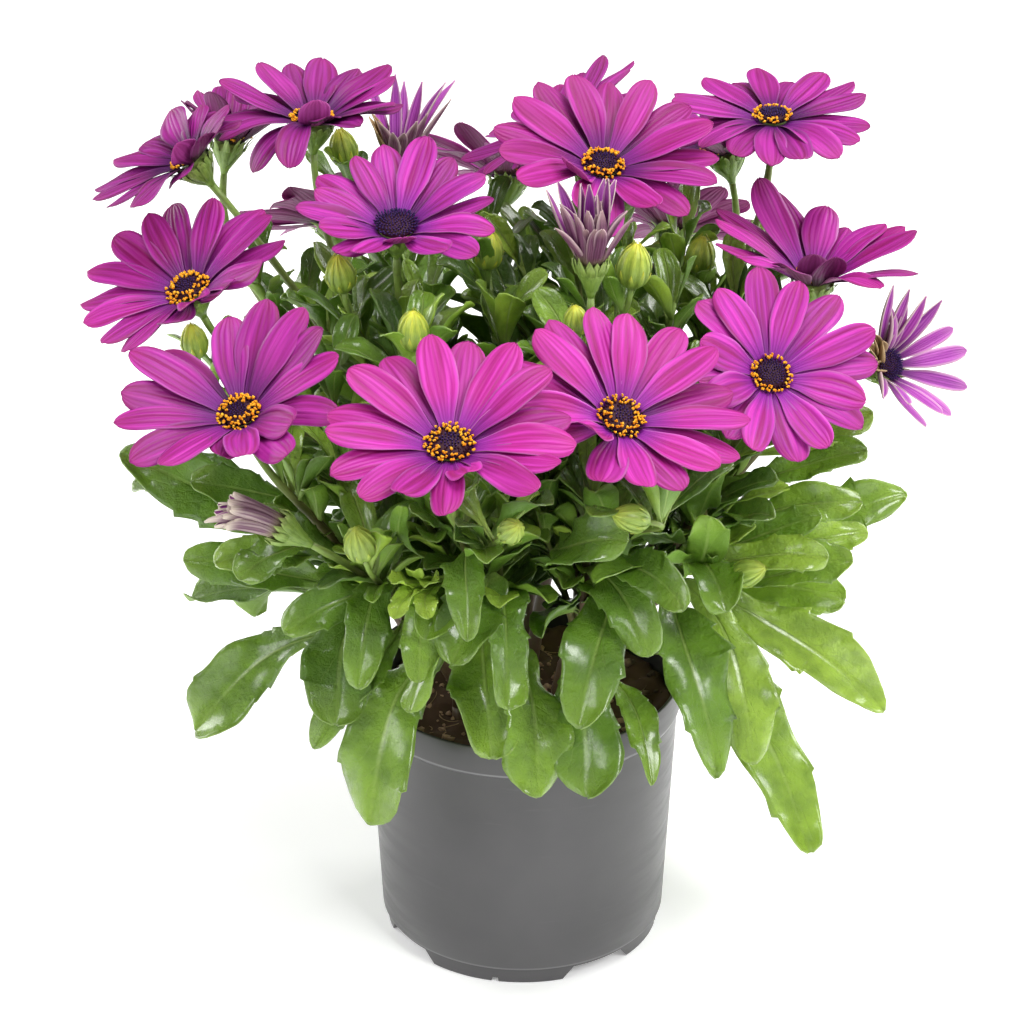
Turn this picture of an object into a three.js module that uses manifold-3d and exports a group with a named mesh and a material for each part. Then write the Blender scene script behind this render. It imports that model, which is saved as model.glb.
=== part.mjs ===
// An osteospermum (African daisy) in flower, growing in its round plastic nursery pot.
// Millimetres, +Z up, +X to the right, -Y toward the front; the origin is the centre of the
// pot's underside, on the floor. Stems, leaves, calyxes and buds of one branch are one body;
// the rays (petals) and the disc of each bloom are bodies of their own.
import * as THREE from 'three';
import { mergeVertices } from 'three/addons/utils/BufferGeometryUtils.js';
import Module from 'manifold-3d';

const wasm = await Module();
wasm.setup();

// ---------- driving dimensions ----------
const POT = {
  height: 108, // floor to the top of the rim
  rimRadius: 60.6,
  bandHeight: 12, // the plain band under the rim
  bandStep: 1.1, // how far the band stands out
  bodyTopRadius: 59.4,
  bodyBottomRadius: 54.8,
  skirtTop: 7, // the light line above the feet
  skirtRadius: 53.6,
  footRadius: 52.8,
  wall: 1.3,
  floorBottom: 6,
  floorTop: 7.6,
  padRadius: 12, // flat centre foot
  sides: 30,
};
const FOOT_GAPS = { width: 24, slope: 5, height: 6, first: 33.5, every: 90 }; // degrees round the base
const DRAINS = { count: 6, radius: 4.5, ring: 36 };
const SOIL = { bottom: 7.9, top: 95, edgeGap: 0.35, relief: 2.4, sides: 18 };
const STEM = {
  rootDepth: 17,
  rootRadius: 2.9,
  holeGap: 0.35,
  forkRadius: 2.1,
  stalkRadius: 1.8,
  endRadius: 1.25,
};
const HUB = { radius: 6.5, bottom: -1.7, keel: 1.2, halfOpen: 0.85, closed: 0.66 }; // last two: shut blooms
const CALYX = { foot: -13, waist: 4.6, offset: 2.0, valley: 0.9, point: 4.6 };
const DISC_PROFILE = [[5.4, 0.3], [8.1, 1.8], [7.4, 3.9], [3.8, 4.1]]; // radius, height
const FLORETS = { sides: 8, radius: 0.09, height: 0.75 }; // how far they stand out of the disc
const RAY_STATIONS = [[0.5, 0.9], [0.88, 0.94]]; // share of the length, share of the width
const CLEARANCE = 7.5; // least distance between sample points of leaves and of other bodies
const OWN_CLEARANCE = 5; // the same toward the leaf's own branch
const LEAF_SPACING = 18; // along a stalk
const FORK_STEP = 0.17; // between the places where stalks leave a stem, as a share of it
const DEG = Math.PI / 180;
const TURN = 2 * Math.PI;
const GOLDEN_ANGLE = 137.508 * DEG;

// Blooms: name, place of the hub, the way it faces (azimuth from the front toward the right, tilt
// from upright), number of rays, their length and width, cup (how far they rise) and branch.
const BLOOM_ROWS = [
  ['b01', [-25, -112, 260], [1, 20], 17, 38, 12.8, 20, 'front'],
  ['b02', [34, -81, 255], [33, 30], 17, 38, 12.8, 18, 'front_right'],
  ['b03', [88, -46, 255], [14, 38], 16, 36, 12.6, 17, 'right'],
  ['b04', [-99, -76, 254], [-23, 28], 16, 38, 12.8, 28, 'front_left'],
  ['b05', [-122, 4, 265], [-50, 26], 16, 36, 12, 22, 'left'],
  ['b06', [-46, 0, 292], [2, 15], 16, 32, 11.8, 22, 'left'],
  ['b07', [-79, 68, 306], [-177, 1], 17, 33, 12, 20, 'back_left'],
  ['b08', [-123, 40, 302], [-84, 36], 15, 34, 11.5, 22, 'back_left'],
  ['b09', [-113, 98, 286], [134, 13], 15, 29, 9.6, 46, 'back_left'],
  ['b10', [29, 26, 305], [20, 29], 17, 38, 12.8, 19, 'back_right'],
  ['b11', [13, 86, 293], [-98, 29], 16, 33, 11.5, 17, 'back'],
  ['b12', [93, 62, 309], [29, 8], 17, 34, 12, 8, 'right_back'],
  ['b13', [77, 95, 283], [-119, 16], 15, 31, 11.5, 24, 'right_back'],
  ['b14', [107, 20, 263], [30, 4], 16, 38, 12.8, 34, 'right_back'],
  ['b15', [133, -1, 238], [52, 58], 15, 31, 5.6, 40, 'right'],
  ['b16', [24, -34, 294], [180, 1], 15, 34, 5, 70, 'front_right'],
  ['b17', [-48, 96, 279], [137, 7], 15, 33, 5, 62, 'back_left'],
  ['b18', [-86, -84, 214], [-86, 57], 12, 27, 3.8, 83, 'front_left'],
  ['b19', [-6, 142, 252], [170, 34], 16, 35, 12, 19, 'back'],
  ['b20', [-76, 132, 238], [-150, 38], 16, 34, 12, 18, 'back_left'],
  ['b21', [60, 140, 230], [160, 42], 16, 34, 12, 19, 'back'],
];
const BLOOMS = {};
for (const [name, at, face, rays, length, width, cup, branch] of BLOOM_ROWS) {
  BLOOMS[name] = { at, face, rays, length, width, cup, branch };
}

// Branches: foot in the soil and the fork where the flower stalks part.
const BRANCHES = {
  front: { foot: [-6, -17], fork: [-10, -38, 142] },
  front_right: { foot: [13, -16], fork: [22, -32, 146] },
  right: { foot: [23, -4], fork: [50, -16, 148] },
  right_back: { foot: [17, 13], fork: [42, 24, 152] },
  back_right: { foot: [3, 5], fork: [12, 8, 160] },
  back: { foot: [1, 24], fork: [6, 48, 148] },
  back_left: { foot: [-17, 17], fork: [-36, 38, 152] },
  left: { foot: [-16, 1], fork: [-40, 2, 154] },
  front_left: { foot: [-24, -12], fork: [-44, -34, 144] },
};

// Buds: place of the base, facing, size, branch and the bloom whose stalk carries it.
const BUDS = [
  { at: [-39, -45, 266], face: [0, 8], size: 1, on: 'b06' },
  { at: [39, -18, 278], face: [60, 6], size: 1.1, on: 'b10' },
  { at: [-56, -94, 208], face: [-25, 25], size: 1, on: 'b18' },
  { at: [-120, 2, 240], face: [-60, 10], size: 0.9, on: 'b05' },
  { at: [19, -42, 270], face: [-20, 12], size: 0.8, on: 'b16' },
  { at: [66, 52, 252], face: [40, 10], size: 1, on: 'b12' },
  { at: [-14, 20, 268], face: [40, 14], size: 1, on: 'b10' },
  { at: [-66, 4, 266], face: [-30, 12], size: 1, on: 'b06' },
  { at: [-6, -112, 226], face: [30, 50], size: 0.8, on: 'b01' },
  { at: [43, -98, 224], face: [-70, 68], size: 0.9, on: 'b02' },
  { at: [76, -58, 180], face: [70, 62], size: 0.9, on: 'b03' },
  { at: [-68, 97, 276], face: [-90, 10], size: 1, on: 'b17' },
  { at: [20, 112, 240], face: [150, 20], size: 0.9, on: 'b11' },
  { at: [96, 84, 240], face: [120, 20], size: 0.9, on: 'b13' },
];

// Large lower leaves: where the blade starts, its tip, width, how high it arches, how far it rolls
// to one side, whether it is toothed, and its branch.
const LARGE_LEAVES = [
  ['front_left', [-80, -24, 142], [-125, -28, 99], 26, 0.10, 30, 1],
  ['front_left', [-62, -44, 158], [-71, -78, 130], 25, 0.22, 0, 0],
  ['front_left', [-44, -56, 150], [-77, -74, 116], 12, 0.16, 18, 0],
  ['front', [-38, -58, 146], [-61, -86, 93], 27, 0.24, 0, 1],
  ['front', [-36, -82, 190], [-37, -100, 160], 14, 0.24, 0, 0],
  ['front', [-18, -84, 200], [-22, -112, 184], 14, 0.5, -12, 0],
  ['front', [-6, -72, 184], [-26, -104, 170], 21, 0.22, 14, 0],
  ['front', [-16, -58, 152], [-8, -88, 123], 20, 0.22, 0, 0],
  ['front', [0, -58, 146], [8, -94, 109], 22, 0.26, 0, 1],
  ['front_right', [25, -58, 142], [20, -92, 108], 27, 0.28, 0, 1],
  ['front_right', [38, -58, 166], [20, -108, 146], 22, 0.38, 0, 0],
  ['front_right', [0, -84, 196], [34, -104, 218], 18, 0.16, -35, 0],
  ['front_right', [38, -56, 132], [49, -80, 106], 12, 0.22, 0, 0],
  ['right', [56, -42, 156], [69, -86, 111], 23, 0.24, 0, 1],
  ['right', [70, -38, 156], [88, -72, 110], 20, 0.2, 0, 1],
  ['right', [76, -24, 124], [110, -52, 60], 23, 0.16, 0, 1],
  ['right', [78, -20, 150], [132, -34, 107], 20, 0.14, 10, 1],
  ['right_back', [84, 0, 140], [122, -6, 144], 19, 0.12, -10, 0],
  ['right_back', [90, 6, 150], [146, 18, 174], 19, 0.1, -30, 1],
  ['right', [70, -40, 168], [110, -54, 188], 13, 0.14, -35, 0],
  ['right', [92, -6, 158], [130, -4, 170], 12, 0.12, -30, 0],
  ['right_back', [98, 4, 192], [131, 12, 212], 12, 0.1, -30, 0],
  ['left', [-92, -8, 164], [-148, -10, 206], 21, 0.08, 48, 1],
  ['left', [-94, 12, 166], [-150, 30, 178], 20, 0.1, 30, 0],
  ['front_left', [-80, -34, 164], [-123, -48, 178], 16, 0.12, 34, 0],
  ['front_left', [-72, -60, 188], [-109, -74, 192], 14, 0.14, 30, 0],
  ['front_left', [-48, -62, 178], [-84, -84, 170], 15, 0.14, 24, 0],
  ['left', [-78, 10, 132], [-128, 22, 128], 20, 0.14, 0, 0],
  ['back_left', [-66, 36, 136], [-108, 60, 104], 24, 0.18, 0, 1],
  ['back_left', [-50, 56, 140], [-76, 96, 106], 24, 0.2, 0, 1],
  ['back_left', [-30, 64, 150], [-44, 108, 124], 22, 0.2, 0, 0],
  ['back', [-8, 62, 138], [-14, 104, 98], 25, 0.22, 0, 1],
  ['back', [14, 62, 146], [22, 112, 120], 22, 0.22, 0, 0],
  ['back', [28, 58, 136], [46, 96, 92], 24, 0.2, 0, 1],
  ['right_back', [52, 48, 142], [84, 84, 112], 24, 0.2, 0, 1],
  ['right_back', [66, 30, 134], [112, 52, 104], 23, 0.18, 0, 1],
  ['back_left', [-76, 30, 170], [-124, 66, 184], 18, 0.12, 0, 0],
  ['back', [-4, 74, 176], [-28, 128, 178], 18, 0.14, 0, 0],
  ['right_back', [66, 60, 172], [104, 102, 182], 18, 0.12, 0, 0],
];

// The width of a blade along its length: share of the length, share of the width.
const TOOTHED = [
  [0, 0.1],
  [0.2, 0.13],
  [0.38, 0.5],
  [0.52, 0.84],
  [0.57, 0.7],
  [0.73, 1],
  [0.78, 0.86],
  [0.92, 0.62],
];
const SMOOTH = [[0, 0.12], [0.22, 0.18], [0.45, 0.66], [0.7, 1], [0.9, 0.72]];
const SMALL = [[0, 0.13], [0.5, 0.9], [0.86, 0.84]];

const COLOUR = {
  pot: [0x5c5b60, 0.42],
  soil: [0x4a3024, 0.95],
  green: [0x4f8a2c, 0.45],
  ray: [0xb52fa6, 0.55],
  disc: [0x3b2440, 0.7],
};

// ---------- small tools ----------
const vec = (p) => new THREE.Vector3(p[0], p[1], p[2]);
const UP = new THREE.Vector3(0, 0, 1);

// A repeatable number from 0 to 1 for each pair of labels.
function chance(a, b) {
  const s = Math.sin(a * 12.9898 + b * 78.233) * 43758.5453;
  return s - Math.floor(s);
}

function either(a, b, range) {
  return (chance(a, b) * 2 - 1) * range;
}

// A closed body from points and triangles, turned so that its faces point out.
function body(points, triangles) {
  let volume = 0;
  for (const [a, b, c] of triangles) {
    volume += points[a].dot(points[b].clone().cross(points[c]));
  }
  const order = volume < 0 ? triangles.map(([a, b, c]) => [a, c, b]) : triangles;
  const geometry = new THREE.BufferGeometry();
  const positions = points.flatMap((p) => [p.x, p.y, p.z]);
  geometry.setAttribute('position', new THREE.Float32BufferAttribute(positions, 3));
  geometry.setIndex(order.flat());
  return geometry;
}

// A closed body through rings of points; a ring of one point is an end, and a ring may have twice
// the points of the one before it.
function loft(rings) {
  const points = [];
  const starts = rings.map((ring) => {
    points.push(...ring);
    return points.length - ring.length;
  });
  const triangles = [];
  for (let i = 0; i + 1 < rings.length; i++) {
    const count = Math.max(rings[i].length, rings[i + 1].length);
    if (rings[i].length > 1 && rings[i + 1].length === rings[i].length * 2) {
      for (let k = 0; k < count; k += 2) {
        const [a, b] = [starts[i] + k / 2, starts[i] + ((k / 2 + 1) % rings[i].length)];
        const [c, d, e] = [k, k + 1, (k + 2) % count].map((n) => starts[i + 1] + n);
        triangles.push([a, d, c], [a, b, d], [b, e, d]);
      }
      continue;
    }
    for (let k = 0; k < count; k++) {
      const next = (k + 1) % count;
      const a = starts[i] + (rings[i].length > 1 ? k : 0);
      const b = starts[i] + (rings[i].length > 1 ? next : 0);
      const c = starts[i + 1] + (rings[i + 1].length > 1 ? next : 0);
      const d = starts[i + 1] + (rings[i + 1].length > 1 ? k : 0);
      if (a !== b) {
        triangles.push([a, b, c]);
      }
      if (c !== d) {
        triangles.push([a, c, d]);
      }
    }
  }
  for (const end of [0, rings.length - 1]) {
    const side = end === 0 ? -1 : 1;
    for (let k = 1; k + 1 < rings[end].length; k++) {
      const fan = [starts[end], starts[end] + k, starts[end] + k + 1];
      triangles.push(side > 0 ? fan : [fan[0], fan[2], fan[1]]);
    }
  }
  return body(points, triangles);
}

function solid(geometry) {
  const bare = geometry.clone();
  bare.deleteAttribute('normal');
  bare.deleteAttribute('uv');
  const merged = mergeVertices(bare, 1e-4);
  const vertProperties = new Float32Array(merged.attributes.position.array);
  const triVerts = new Uint32Array(merged.index.array);
  return new wasm.Manifold(new wasm.Mesh({ numProp: 3, vertProperties, triVerts }));
}

function fuse(geometries) {
  let all = geometries.map(solid);
  while (all.length > 1) {
    const pairs = [];
    for (let i = 0; i < all.length; i += 2) {
      pairs.push(i + 1 < all.length ? all[i].add(all[i + 1]) : all[i]);
    }
    all = pairs;
  }
  return all[0];
}

// The largest connected piece, as a geometry.
function geometryOf(manifold) {
  const pieces = manifold.decompose();
  const sizes = pieces.map((piece) => piece.volume());
  const mesh = pieces[sizes.indexOf(Math.max(...sizes))].getMesh();
  const geometry = new THREE.BufferGeometry();
  geometry.setAttribute('position', new THREE.Float32BufferAttribute(mesh.vertProperties, 3));
  geometry.setIndex(Array.from(mesh.triVerts));
  return geometry;
}

// ---------- pot ----------
function lathe(profile, sides) {
  const points = [...profile, profile[0]].map(([r, z]) => new THREE.Vector2(r, z));
  return new THREE.LatheGeometry(points, sides).rotateX(Math.PI / 2);
}

function potGeometry() {
  const p = POT;
  const bandBottom = p.height - p.bandHeight;
  const innerTop = p.rimRadius - p.bandStep - p.wall - 0.4;
  let pot = solid(lathe([
    [0, p.floorBottom],
    [p.footRadius - p.wall - 1, p.floorBottom],
    [p.footRadius - p.wall - 1, 0],
    [p.footRadius, 0],
    [p.skirtRadius, p.skirtTop],
    [p.bodyBottomRadius, p.skirtTop + 0.4],
    [p.bodyTopRadius, bandBottom - 0.3],
    [p.rimRadius - 0.1, bandBottom],
    [p.rimRadius, p.height],
    [p.rimRadius - 1.7, p.height],
    [innerTop, bandBottom - 1],
    [p.bodyBottomRadius - p.wall, p.floorTop],
    [0, p.floorTop],
  ], p.sides));
  const pad = new THREE.CylinderGeometry(p.padRadius, p.padRadius, p.floorBottom + 0.6, 16);
  pot = pot.add(solid(pad.rotateX(Math.PI / 2).translate(0, 0, (p.floorBottom + 0.6) / 2)));
  for (let i = 0; i < 4; i++) {
    const middle = (FOOT_GAPS.first + i * FOOT_GAPS.every - 90) * DEG;
    const low = p.footRadius * Math.sin((FOOT_GAPS.width / 2) * DEG) + FOOT_GAPS.slope;
    const high = low - FOOT_GAPS.slope;
    const shape = new THREE.Shape([
      new THREE.Vector2(-low, -1),
      new THREE.Vector2(low, -1),
      new THREE.Vector2(high, FOOT_GAPS.height - 0.4),
      new THREE.Vector2(-high, FOOT_GAPS.height - 0.4),
    ]);
    const gap = new THREE.ExtrudeGeometry(shape, { depth: 24, bevelEnabled: false });
    gap.rotateX(Math.PI / 2).translate(0, -p.footRadius + 12, 0).rotateZ(middle + Math.PI / 2);
    pot = pot.subtract(solid(gap));
    const notch = new THREE.BoxGeometry(3, 14, 4);
    notch.translate(0, -p.footRadius + 2, 0).rotateZ(middle + Math.PI / 2 + 45 * DEG);
    pot = pot.subtract(solid(notch));
  }
  for (let i = 0; i < DRAINS.count; i++) {
    const hole = new THREE.CylinderGeometry(DRAINS.radius, DRAINS.radius, 6, 6).rotateX(Math.PI / 2);
    hole.translate(DRAINS.ring, 0, p.floorBottom).rotateZ((i / DRAINS.count) * TURN);
    pot = pot.subtract(solid(hole));
  }
  return geometryOf(pot);
}

function soilHeight(x, y) {
  const waves = Math.sin(x * 0.21 + 1.3) * Math.cos(y * 0.17 - 0.4) + 0.6 * Math.sin(x * 0.37 - y * 0.31);
  return SOIL.top + SOIL.relief * 0.5 * waves;
}

function soilGeometry() {
  const p = POT;
  const innerBottom = p.bodyBottomRadius - p.wall;
  const innerTop = p.rimRadius - p.bandStep - p.wall - 0.4;
  const reach = (z) => {
    const share = (z - p.floorTop) / (p.height - p.bandHeight - 1 - p.floorTop);
    return (innerBottom + (innerTop - innerBottom) * share) * Math.cos(Math.PI / p.sides) - SOIL.edgeGap;
  };
  const ring = (radius, height) => {
    const points = [];
    for (let k = 0; k < SOIL.sides; k++) {
      const a = (k / SOIL.sides) * TURN;
      const x = radius * Math.cos(a);
      const y = radius * Math.sin(a);
      points.push(new THREE.Vector3(x, y, height === null ? soilHeight(x, y) : height));
    }
    return points;
  };
  const edge = reach(SOIL.top - 3);
  const rings = [
    [new THREE.Vector3(0, 0, SOIL.bottom)],
    ring(reach(SOIL.bottom), SOIL.bottom),
    ring(edge, SOIL.top - 3),
  ];
  for (const share of [0.97, 0.7, 0.35]) {
    rings.push(ring(edge * share, null));
  }
  rings.push([new THREE.Vector3(0, 0, soilHeight(0, 0))]);
  let soil = solid(loft(rings));
  for (const branch of Object.values(BRANCHES)) {
    const radius = STEM.rootRadius + STEM.holeGap;
    const hole = new THREE.CylinderGeometry(radius * 1.06, radius * 1.06, 40, 7).rotateX(Math.PI / 2);
    hole.translate(branch.foot[0], branch.foot[1], SOIL.top - STEM.rootDepth - STEM.holeGap + 20);
    soil = soil.subtract(solid(hole));
  }
  return geometryOf(soil);
}

// ---------- blooms ----------
function frameOf(at, face) {
  const [azimuth, tilt] = face.map((a) => a * DEG);
  const out = Math.sin(tilt);
  const axis = vec([out * Math.sin(azimuth), -out * Math.cos(azimuth), Math.cos(tilt)]);
  const side = new THREE.Vector3(0, 1, 0).cross(axis).normalize();
  const front = axis.clone().cross(side);
  const centre = vec(at);
  const point = (radius, angle, height) => centre.clone()
    .addScaledVector(side, radius * Math.cos(angle))
    .addScaledVector(front, radius * Math.sin(angle))
    .addScaledVector(axis, height);
  return { axis, centre, point };
}

// A bloom that is not fully open has a narrower hub.
function hubScale(cup) {
  return cup > 50 ? HUB.closed : cup > 36 ? HUB.halfOpen : 1;
}

// Each ray's own angle, rise at its root and at its tip, and length.
function raysOf(name) {
  const bloom = BLOOMS[name];
  const seed = Number(name.slice(1));
  const steady = bloom.cup > 50 ? 0.45 : 1;
  const rays = [];
  for (let i = 0; i < bloom.rays; i++) {
    const weave = i % 2 === 0 ? 2.5 : -2.5;
    const root = bloom.cup + (weave + either(seed, i + 0.3, 2)) * steady;
    rays.push({
      angle: ((i + either(seed, i, 0.07)) / bloom.rays) * TURN + seed,
      root: root * DEG,
      tip: (root + (-5 + either(seed, i + 0.6, 10)) * steady) * DEG,
      length: bloom.length * (1 + either(seed, i + 0.9, 0.05)),
      start: HUB.radius * hubScale(bloom.cup),
    });
  }
  return rays;
}

// Radius, height and slope of a ray's middle line at a share of its length.
function rayLine(ray, share) {
  const rise = ray.root + (ray.tip - ray.root) * share * 0.5;
  return {
    radius: ray.start + ray.length * share * Math.cos(rise),
    height: ray.length * share * Math.sin(rise),
    slope: ray.root + (ray.tip - ray.root) * share,
  };
}

function raysGeometry(name) {
  const bloom = BLOOMS[name];
  const { point } = frameOf(bloom.at, bloom.face);
  const rays = raysOf(name);
  const count = rays.length;
  const points = [point(0, 0, 0), point(0, 0, HUB.bottom)];
  const borders = rays.map((ray, i) => {
    const before = rays[(i + count - 1) % count];
    const turned = before.angle - (i === 0 ? TURN : 0);
    return (turned + ray.angle) / 2;
  });
  borders.push(borders[0] + TURN);
  for (let i = 0; i < count; i++) {
    points.push(point(rays[i].start, borders[i], 0));
  }
  const triangles = [];
  for (let i = 0; i < count; i++) {
    const ray = rays[i];
    const half = Math.min(ray.angle - borders[i], borders[i + 1] - ray.angle);
    const edge = [2 + i, 2 + ((i + 1) % count)];
    const section = (share, thickness) => {
      const line = rayLine(ray, share);
      return [
        line.radius + thickness * Math.sin(line.slope),
        line.height - thickness * Math.cos(line.slope),
      ];
    };
    points.push(point(section(0, HUB.keel)[0] - 0.2, ray.angle, section(0, HUB.keel)[1]));
    let last = [edge[0], edge[1], points.length - 1];
    triangles.push([0, edge[0], edge[1]], [1, last[2], edge[0]], [1, edge[1], last[2]]);
    for (const [share, wide] of RAY_STATIONS) {
      const line = rayLine(ray, share);
      const room = 0.94 * line.radius * Math.tan(half);
      const reach = Math.min((bloom.width * wide) / 2, room);
      const turn = Math.atan2(reach, line.radius);
      const radius = Math.hypot(reach, line.radius);
      points.push(point(radius, ray.angle - turn, line.height));
      points.push(point(radius, ray.angle + turn, line.height));
      const [keelRadius, keelHeight] = section(share, share < 0.6 ? 1.0 : 0.7);
      points.push(point(keelRadius, ray.angle, keelHeight));
      const n = points.length;
      const [L, R, K, l, r, k] = [n - 3, n - 2, n - 1, ...last];
      triangles.push([l, L, R], [l, R, r], [l, k, K], [l, K, L], [r, R, K], [r, K, k]);
      last = [L, R, K];
    }
    const end = rayLine(ray, 1);
    points.push(point(end.radius, ray.angle, end.height));
    const tip = points.length - 1;
    triangles.push([last[0], tip, last[1]], [last[0], last[2], tip], [last[1], tip, last[2]]);
  }
  return body(points, triangles);
}

function discGeometry(name) {
  const bloom = BLOOMS[name];
  const { point } = frameOf(bloom.at, bloom.face);
  const scale = hubScale(bloom.cup) * (bloom.cup > 50 ? 0.8 : bloom.cup > 30 ? 0.92 : 1);
  const rings = [[point(0, 0, DISC_PROFILE[0][1])]];
  DISC_PROFILE.forEach(([radius, height], level) => {
    const ring = [];
    for (let k = 0; k < FLORETS.sides; k++) {
      const stand = level === 0 ? 0 : (k + level) % 2 === 0 ? 1 : -0.5;
      const turn = (k / FLORETS.sides) * TURN;
      const out = radius * scale * (1 + FLORETS.radius * stand);
      ring.push(point(out, turn, height + FLORETS.height * stand));
    }
    rings.push(ring);
  });
  rings.push([point(0, 0, DISC_PROFILE[3][1] + FLORETS.height)]);
  return loft(rings);
}

// Rings of points round an axis, counted from a given sideways direction.
function ringMaker(at, axis, side) {
  const start = side.clone().addScaledVector(axis, -side.dot(axis)).normalize();
  const other = axis.clone().cross(start);
  return (sides, pick) => Array.from({ length: sides }, (_, k) => {
    const [radius, height] = pick(k);
    return at.clone()
      .addScaledVector(start, radius * Math.cos((k / sides) * TURN))
      .addScaledVector(other, radius * Math.sin((k / sides) * TURN))
      .addScaledVector(axis, height);
  });
}

// The green cup of pointed bracts under a bloom, as rings that carry on from its stalk.
function calyxRings(name, side) {
  const bloom = BLOOMS[name];
  const { axis, centre, point } = frameOf(bloom.at, bloom.face);
  const ring = ringMaker(centre, axis, side);
  const rise = bloom.cup * DEG;
  const hub = HUB.radius * hubScale(bloom.cup);
  const sides = 10;
  const along = (distance) => [
    hub + distance * Math.cos(rise) + CALYX.offset * Math.sin(rise),
    distance * Math.sin(rise) - CALYX.offset * Math.cos(rise),
  ];
  return [
    ring(sides, () => [CALYX.waist * hubScale(bloom.cup), CALYX.foot + 4.5]),
    ring(sides, () => [hub + 0.1 + 2.1 * Math.sin(rise), -CALYX.offset - 1.6]),
    ring(sides, (k) => along(k % 2 === 0 ? CALYX.point : CALYX.valley)),
    ring(sides, () => [hub - 0.5 + 1.7 * Math.sin(rise), HUB.bottom - 0.35]),
    [point(0, 0, HUB.bottom - 0.35)],
  ];
}

// The ridged head of a bud, as rings that carry on from its stalk.
function budRings(bud, side) {
  const { axis, centre, point } = frameOf(bud.at, bud.face);
  const ring = ringMaker(centre, axis, side);
  const ridged = (radius, height, level) => ring(8, (k) => [
    radius * bud.size * (1 + 0.08 * ((k + level) % 2 === 0 ? 1 : -1)),
    height * bud.size,
  ]);
  return [
    ridged(3.9, 1, 1),
    ridged(6.2, 5, 0),
    ridged(5.6, 9.5, 1),
    ridged(2.4, 14, 0),
    [point(0, 0, 15.5 * bud.size)],
  ];
}

// ---------- stems ----------
// The stalk that ends under a bloom or bud, as a curve.
function stalkCurve(start, end, axis, lean) {
  const reach = start.distanceTo(end);
  const bend = start.clone().lerp(end, 0.3).addScaledVector(UP, reach * lean);
  return new THREE.CubicBezierCurve3(start, bend, end.clone().addScaledVector(axis, -reach * 0.3), end);
}

// The rings of a tapering tube along a curve, and the sideways direction at its end.
function tubeRings(curve, startRadius, endRadius, sides, steps) {
  const rings = [];
  let side = new THREE.Vector3(1, 0, 0);
  for (let i = 0; i <= steps; i++) {
    const t = i / steps;
    const heading = curve.getTangent(t);
    side = side.clone().addScaledVector(heading, -side.dot(heading)).normalize();
    const other = heading.clone().cross(side);
    const centre = curve.getPoint(t);
    const radius = startRadius + (endRadius - startRadius) * t;
    rings.push(Array.from({ length: sides }, (_, k) => centre.clone()
      .addScaledVector(side, radius * Math.cos((k / sides) * TURN))
      .addScaledVector(other, radius * Math.sin((k / sides) * TURN))));
  }
  return { rings, side };
}

function stemCurve(branch) {
  const [x, y] = branch.foot;
  const fork = vec(branch.fork);
  const top = SOIL.top + 4;
  const start = new THREE.Vector3(x, y, top);
  const middle = new THREE.Vector3(x, y, top + 18);
  const late = middle.clone().lerp(fork, 0.7);
  return new THREE.CubicBezierCurve3(start, middle, late, fork);
}

function stemGeometries(branch) {
  const [x, y] = branch.foot;
  const height = STEM.rootDepth + 4.6;
  const root = new THREE.CylinderGeometry(STEM.rootRadius, STEM.rootRadius, height, 6);
  root.rotateX(Math.PI / 2).translate(x, y, SOIL.top - STEM.rootDepth + height / 2);
  return [root, loft(tubeRings(stemCurve(branch), STEM.rootRadius - 0.1, STEM.forkRadius, 6, 3).rings)];
}

// Every flower stalk and bud stalk, with the branch it belongs to; each leaves the stem a little
// below the one before.
const stalks = {};
for (const branch of Object.keys(BRANCHES)) {
  const stem = stemCurve(BRANCHES[branch]);
  const names = Object.keys(BLOOMS).filter((name) => BLOOMS[name].branch === branch);
  names.forEach((name, order) => {
    const { axis, centre } = frameOf(BLOOMS[name].at, BLOOMS[name].face);
    const end = centre.clone().addScaledVector(axis, CALYX.foot);
    const start = stem.getPoint(0.97 - FORK_STEP * order);
    stalks[name] = { branch, curve: stalkCurve(start, end, axis, 0.12) };
  });
}
const budStalks = BUDS.map((bud) => {
  const { axis, centre } = frameOf(bud.at, bud.face);
  const end = centre.clone().addScaledVector(axis, -1.2);
  const parent = stalks[bud.on];
  const start = parent.curve.getPoint(0.4);
  return { branch: parent.branch, curve: stalkCurve(start, end, axis, 0.05) };
});

// ---------- leaves ----------
// A leaf is a middle line with widths along it; its blade turns its upper face to the light.
function leafFrame(leaf, t) {
  const centre = leaf.curve.getPoint(t);
  const heading = leaf.curve.getTangent(t);
  const flat = new THREE.Vector3(heading.x, heading.y, 0);
  if (flat.length() < 0.2) {
    flat.set(leaf.out.x, leaf.out.y, 0);
  }
  const side = flat.cross(UP).normalize();
  side.addScaledVector(heading, -side.dot(heading)).normalize();
  side.applyAxisAngle(heading, -leaf.roll * DEG * Math.min(1, t * 2));
  const face = side.clone().cross(heading).normalize();
  return { centre, heading, side, face };
}

function leafGeometry(leaf) {
  const rings = leaf.stations.map(([t, share], i) => {
    const { centre, side, face } = leafFrame(leaf, t);
    const uneven = leaf.toothed ? 0.06 * (i % 2 === 0 ? 1 : -1) : 0;
    const half = (leaf.width * share) / 2;
    const left = half * (1 + uneven);
    const right = half * (1 - uneven);
    const keel = Math.max(0.7, Math.min(1.5, leaf.width * 0.07)) * (t < 0.3 ? 1.25 : 1);
    return [
      centre.clone().addScaledVector(side, left).addScaledVector(face, left * leaf.fold),
      centre.clone().addScaledVector(side, -right).addScaledVector(face, right * leaf.fold),
      centre.clone().addScaledVector(face, -keel),
    ];
  });
  rings.push([leaf.curve.getPoint(1)]);
  return loft(rings);
}

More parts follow.
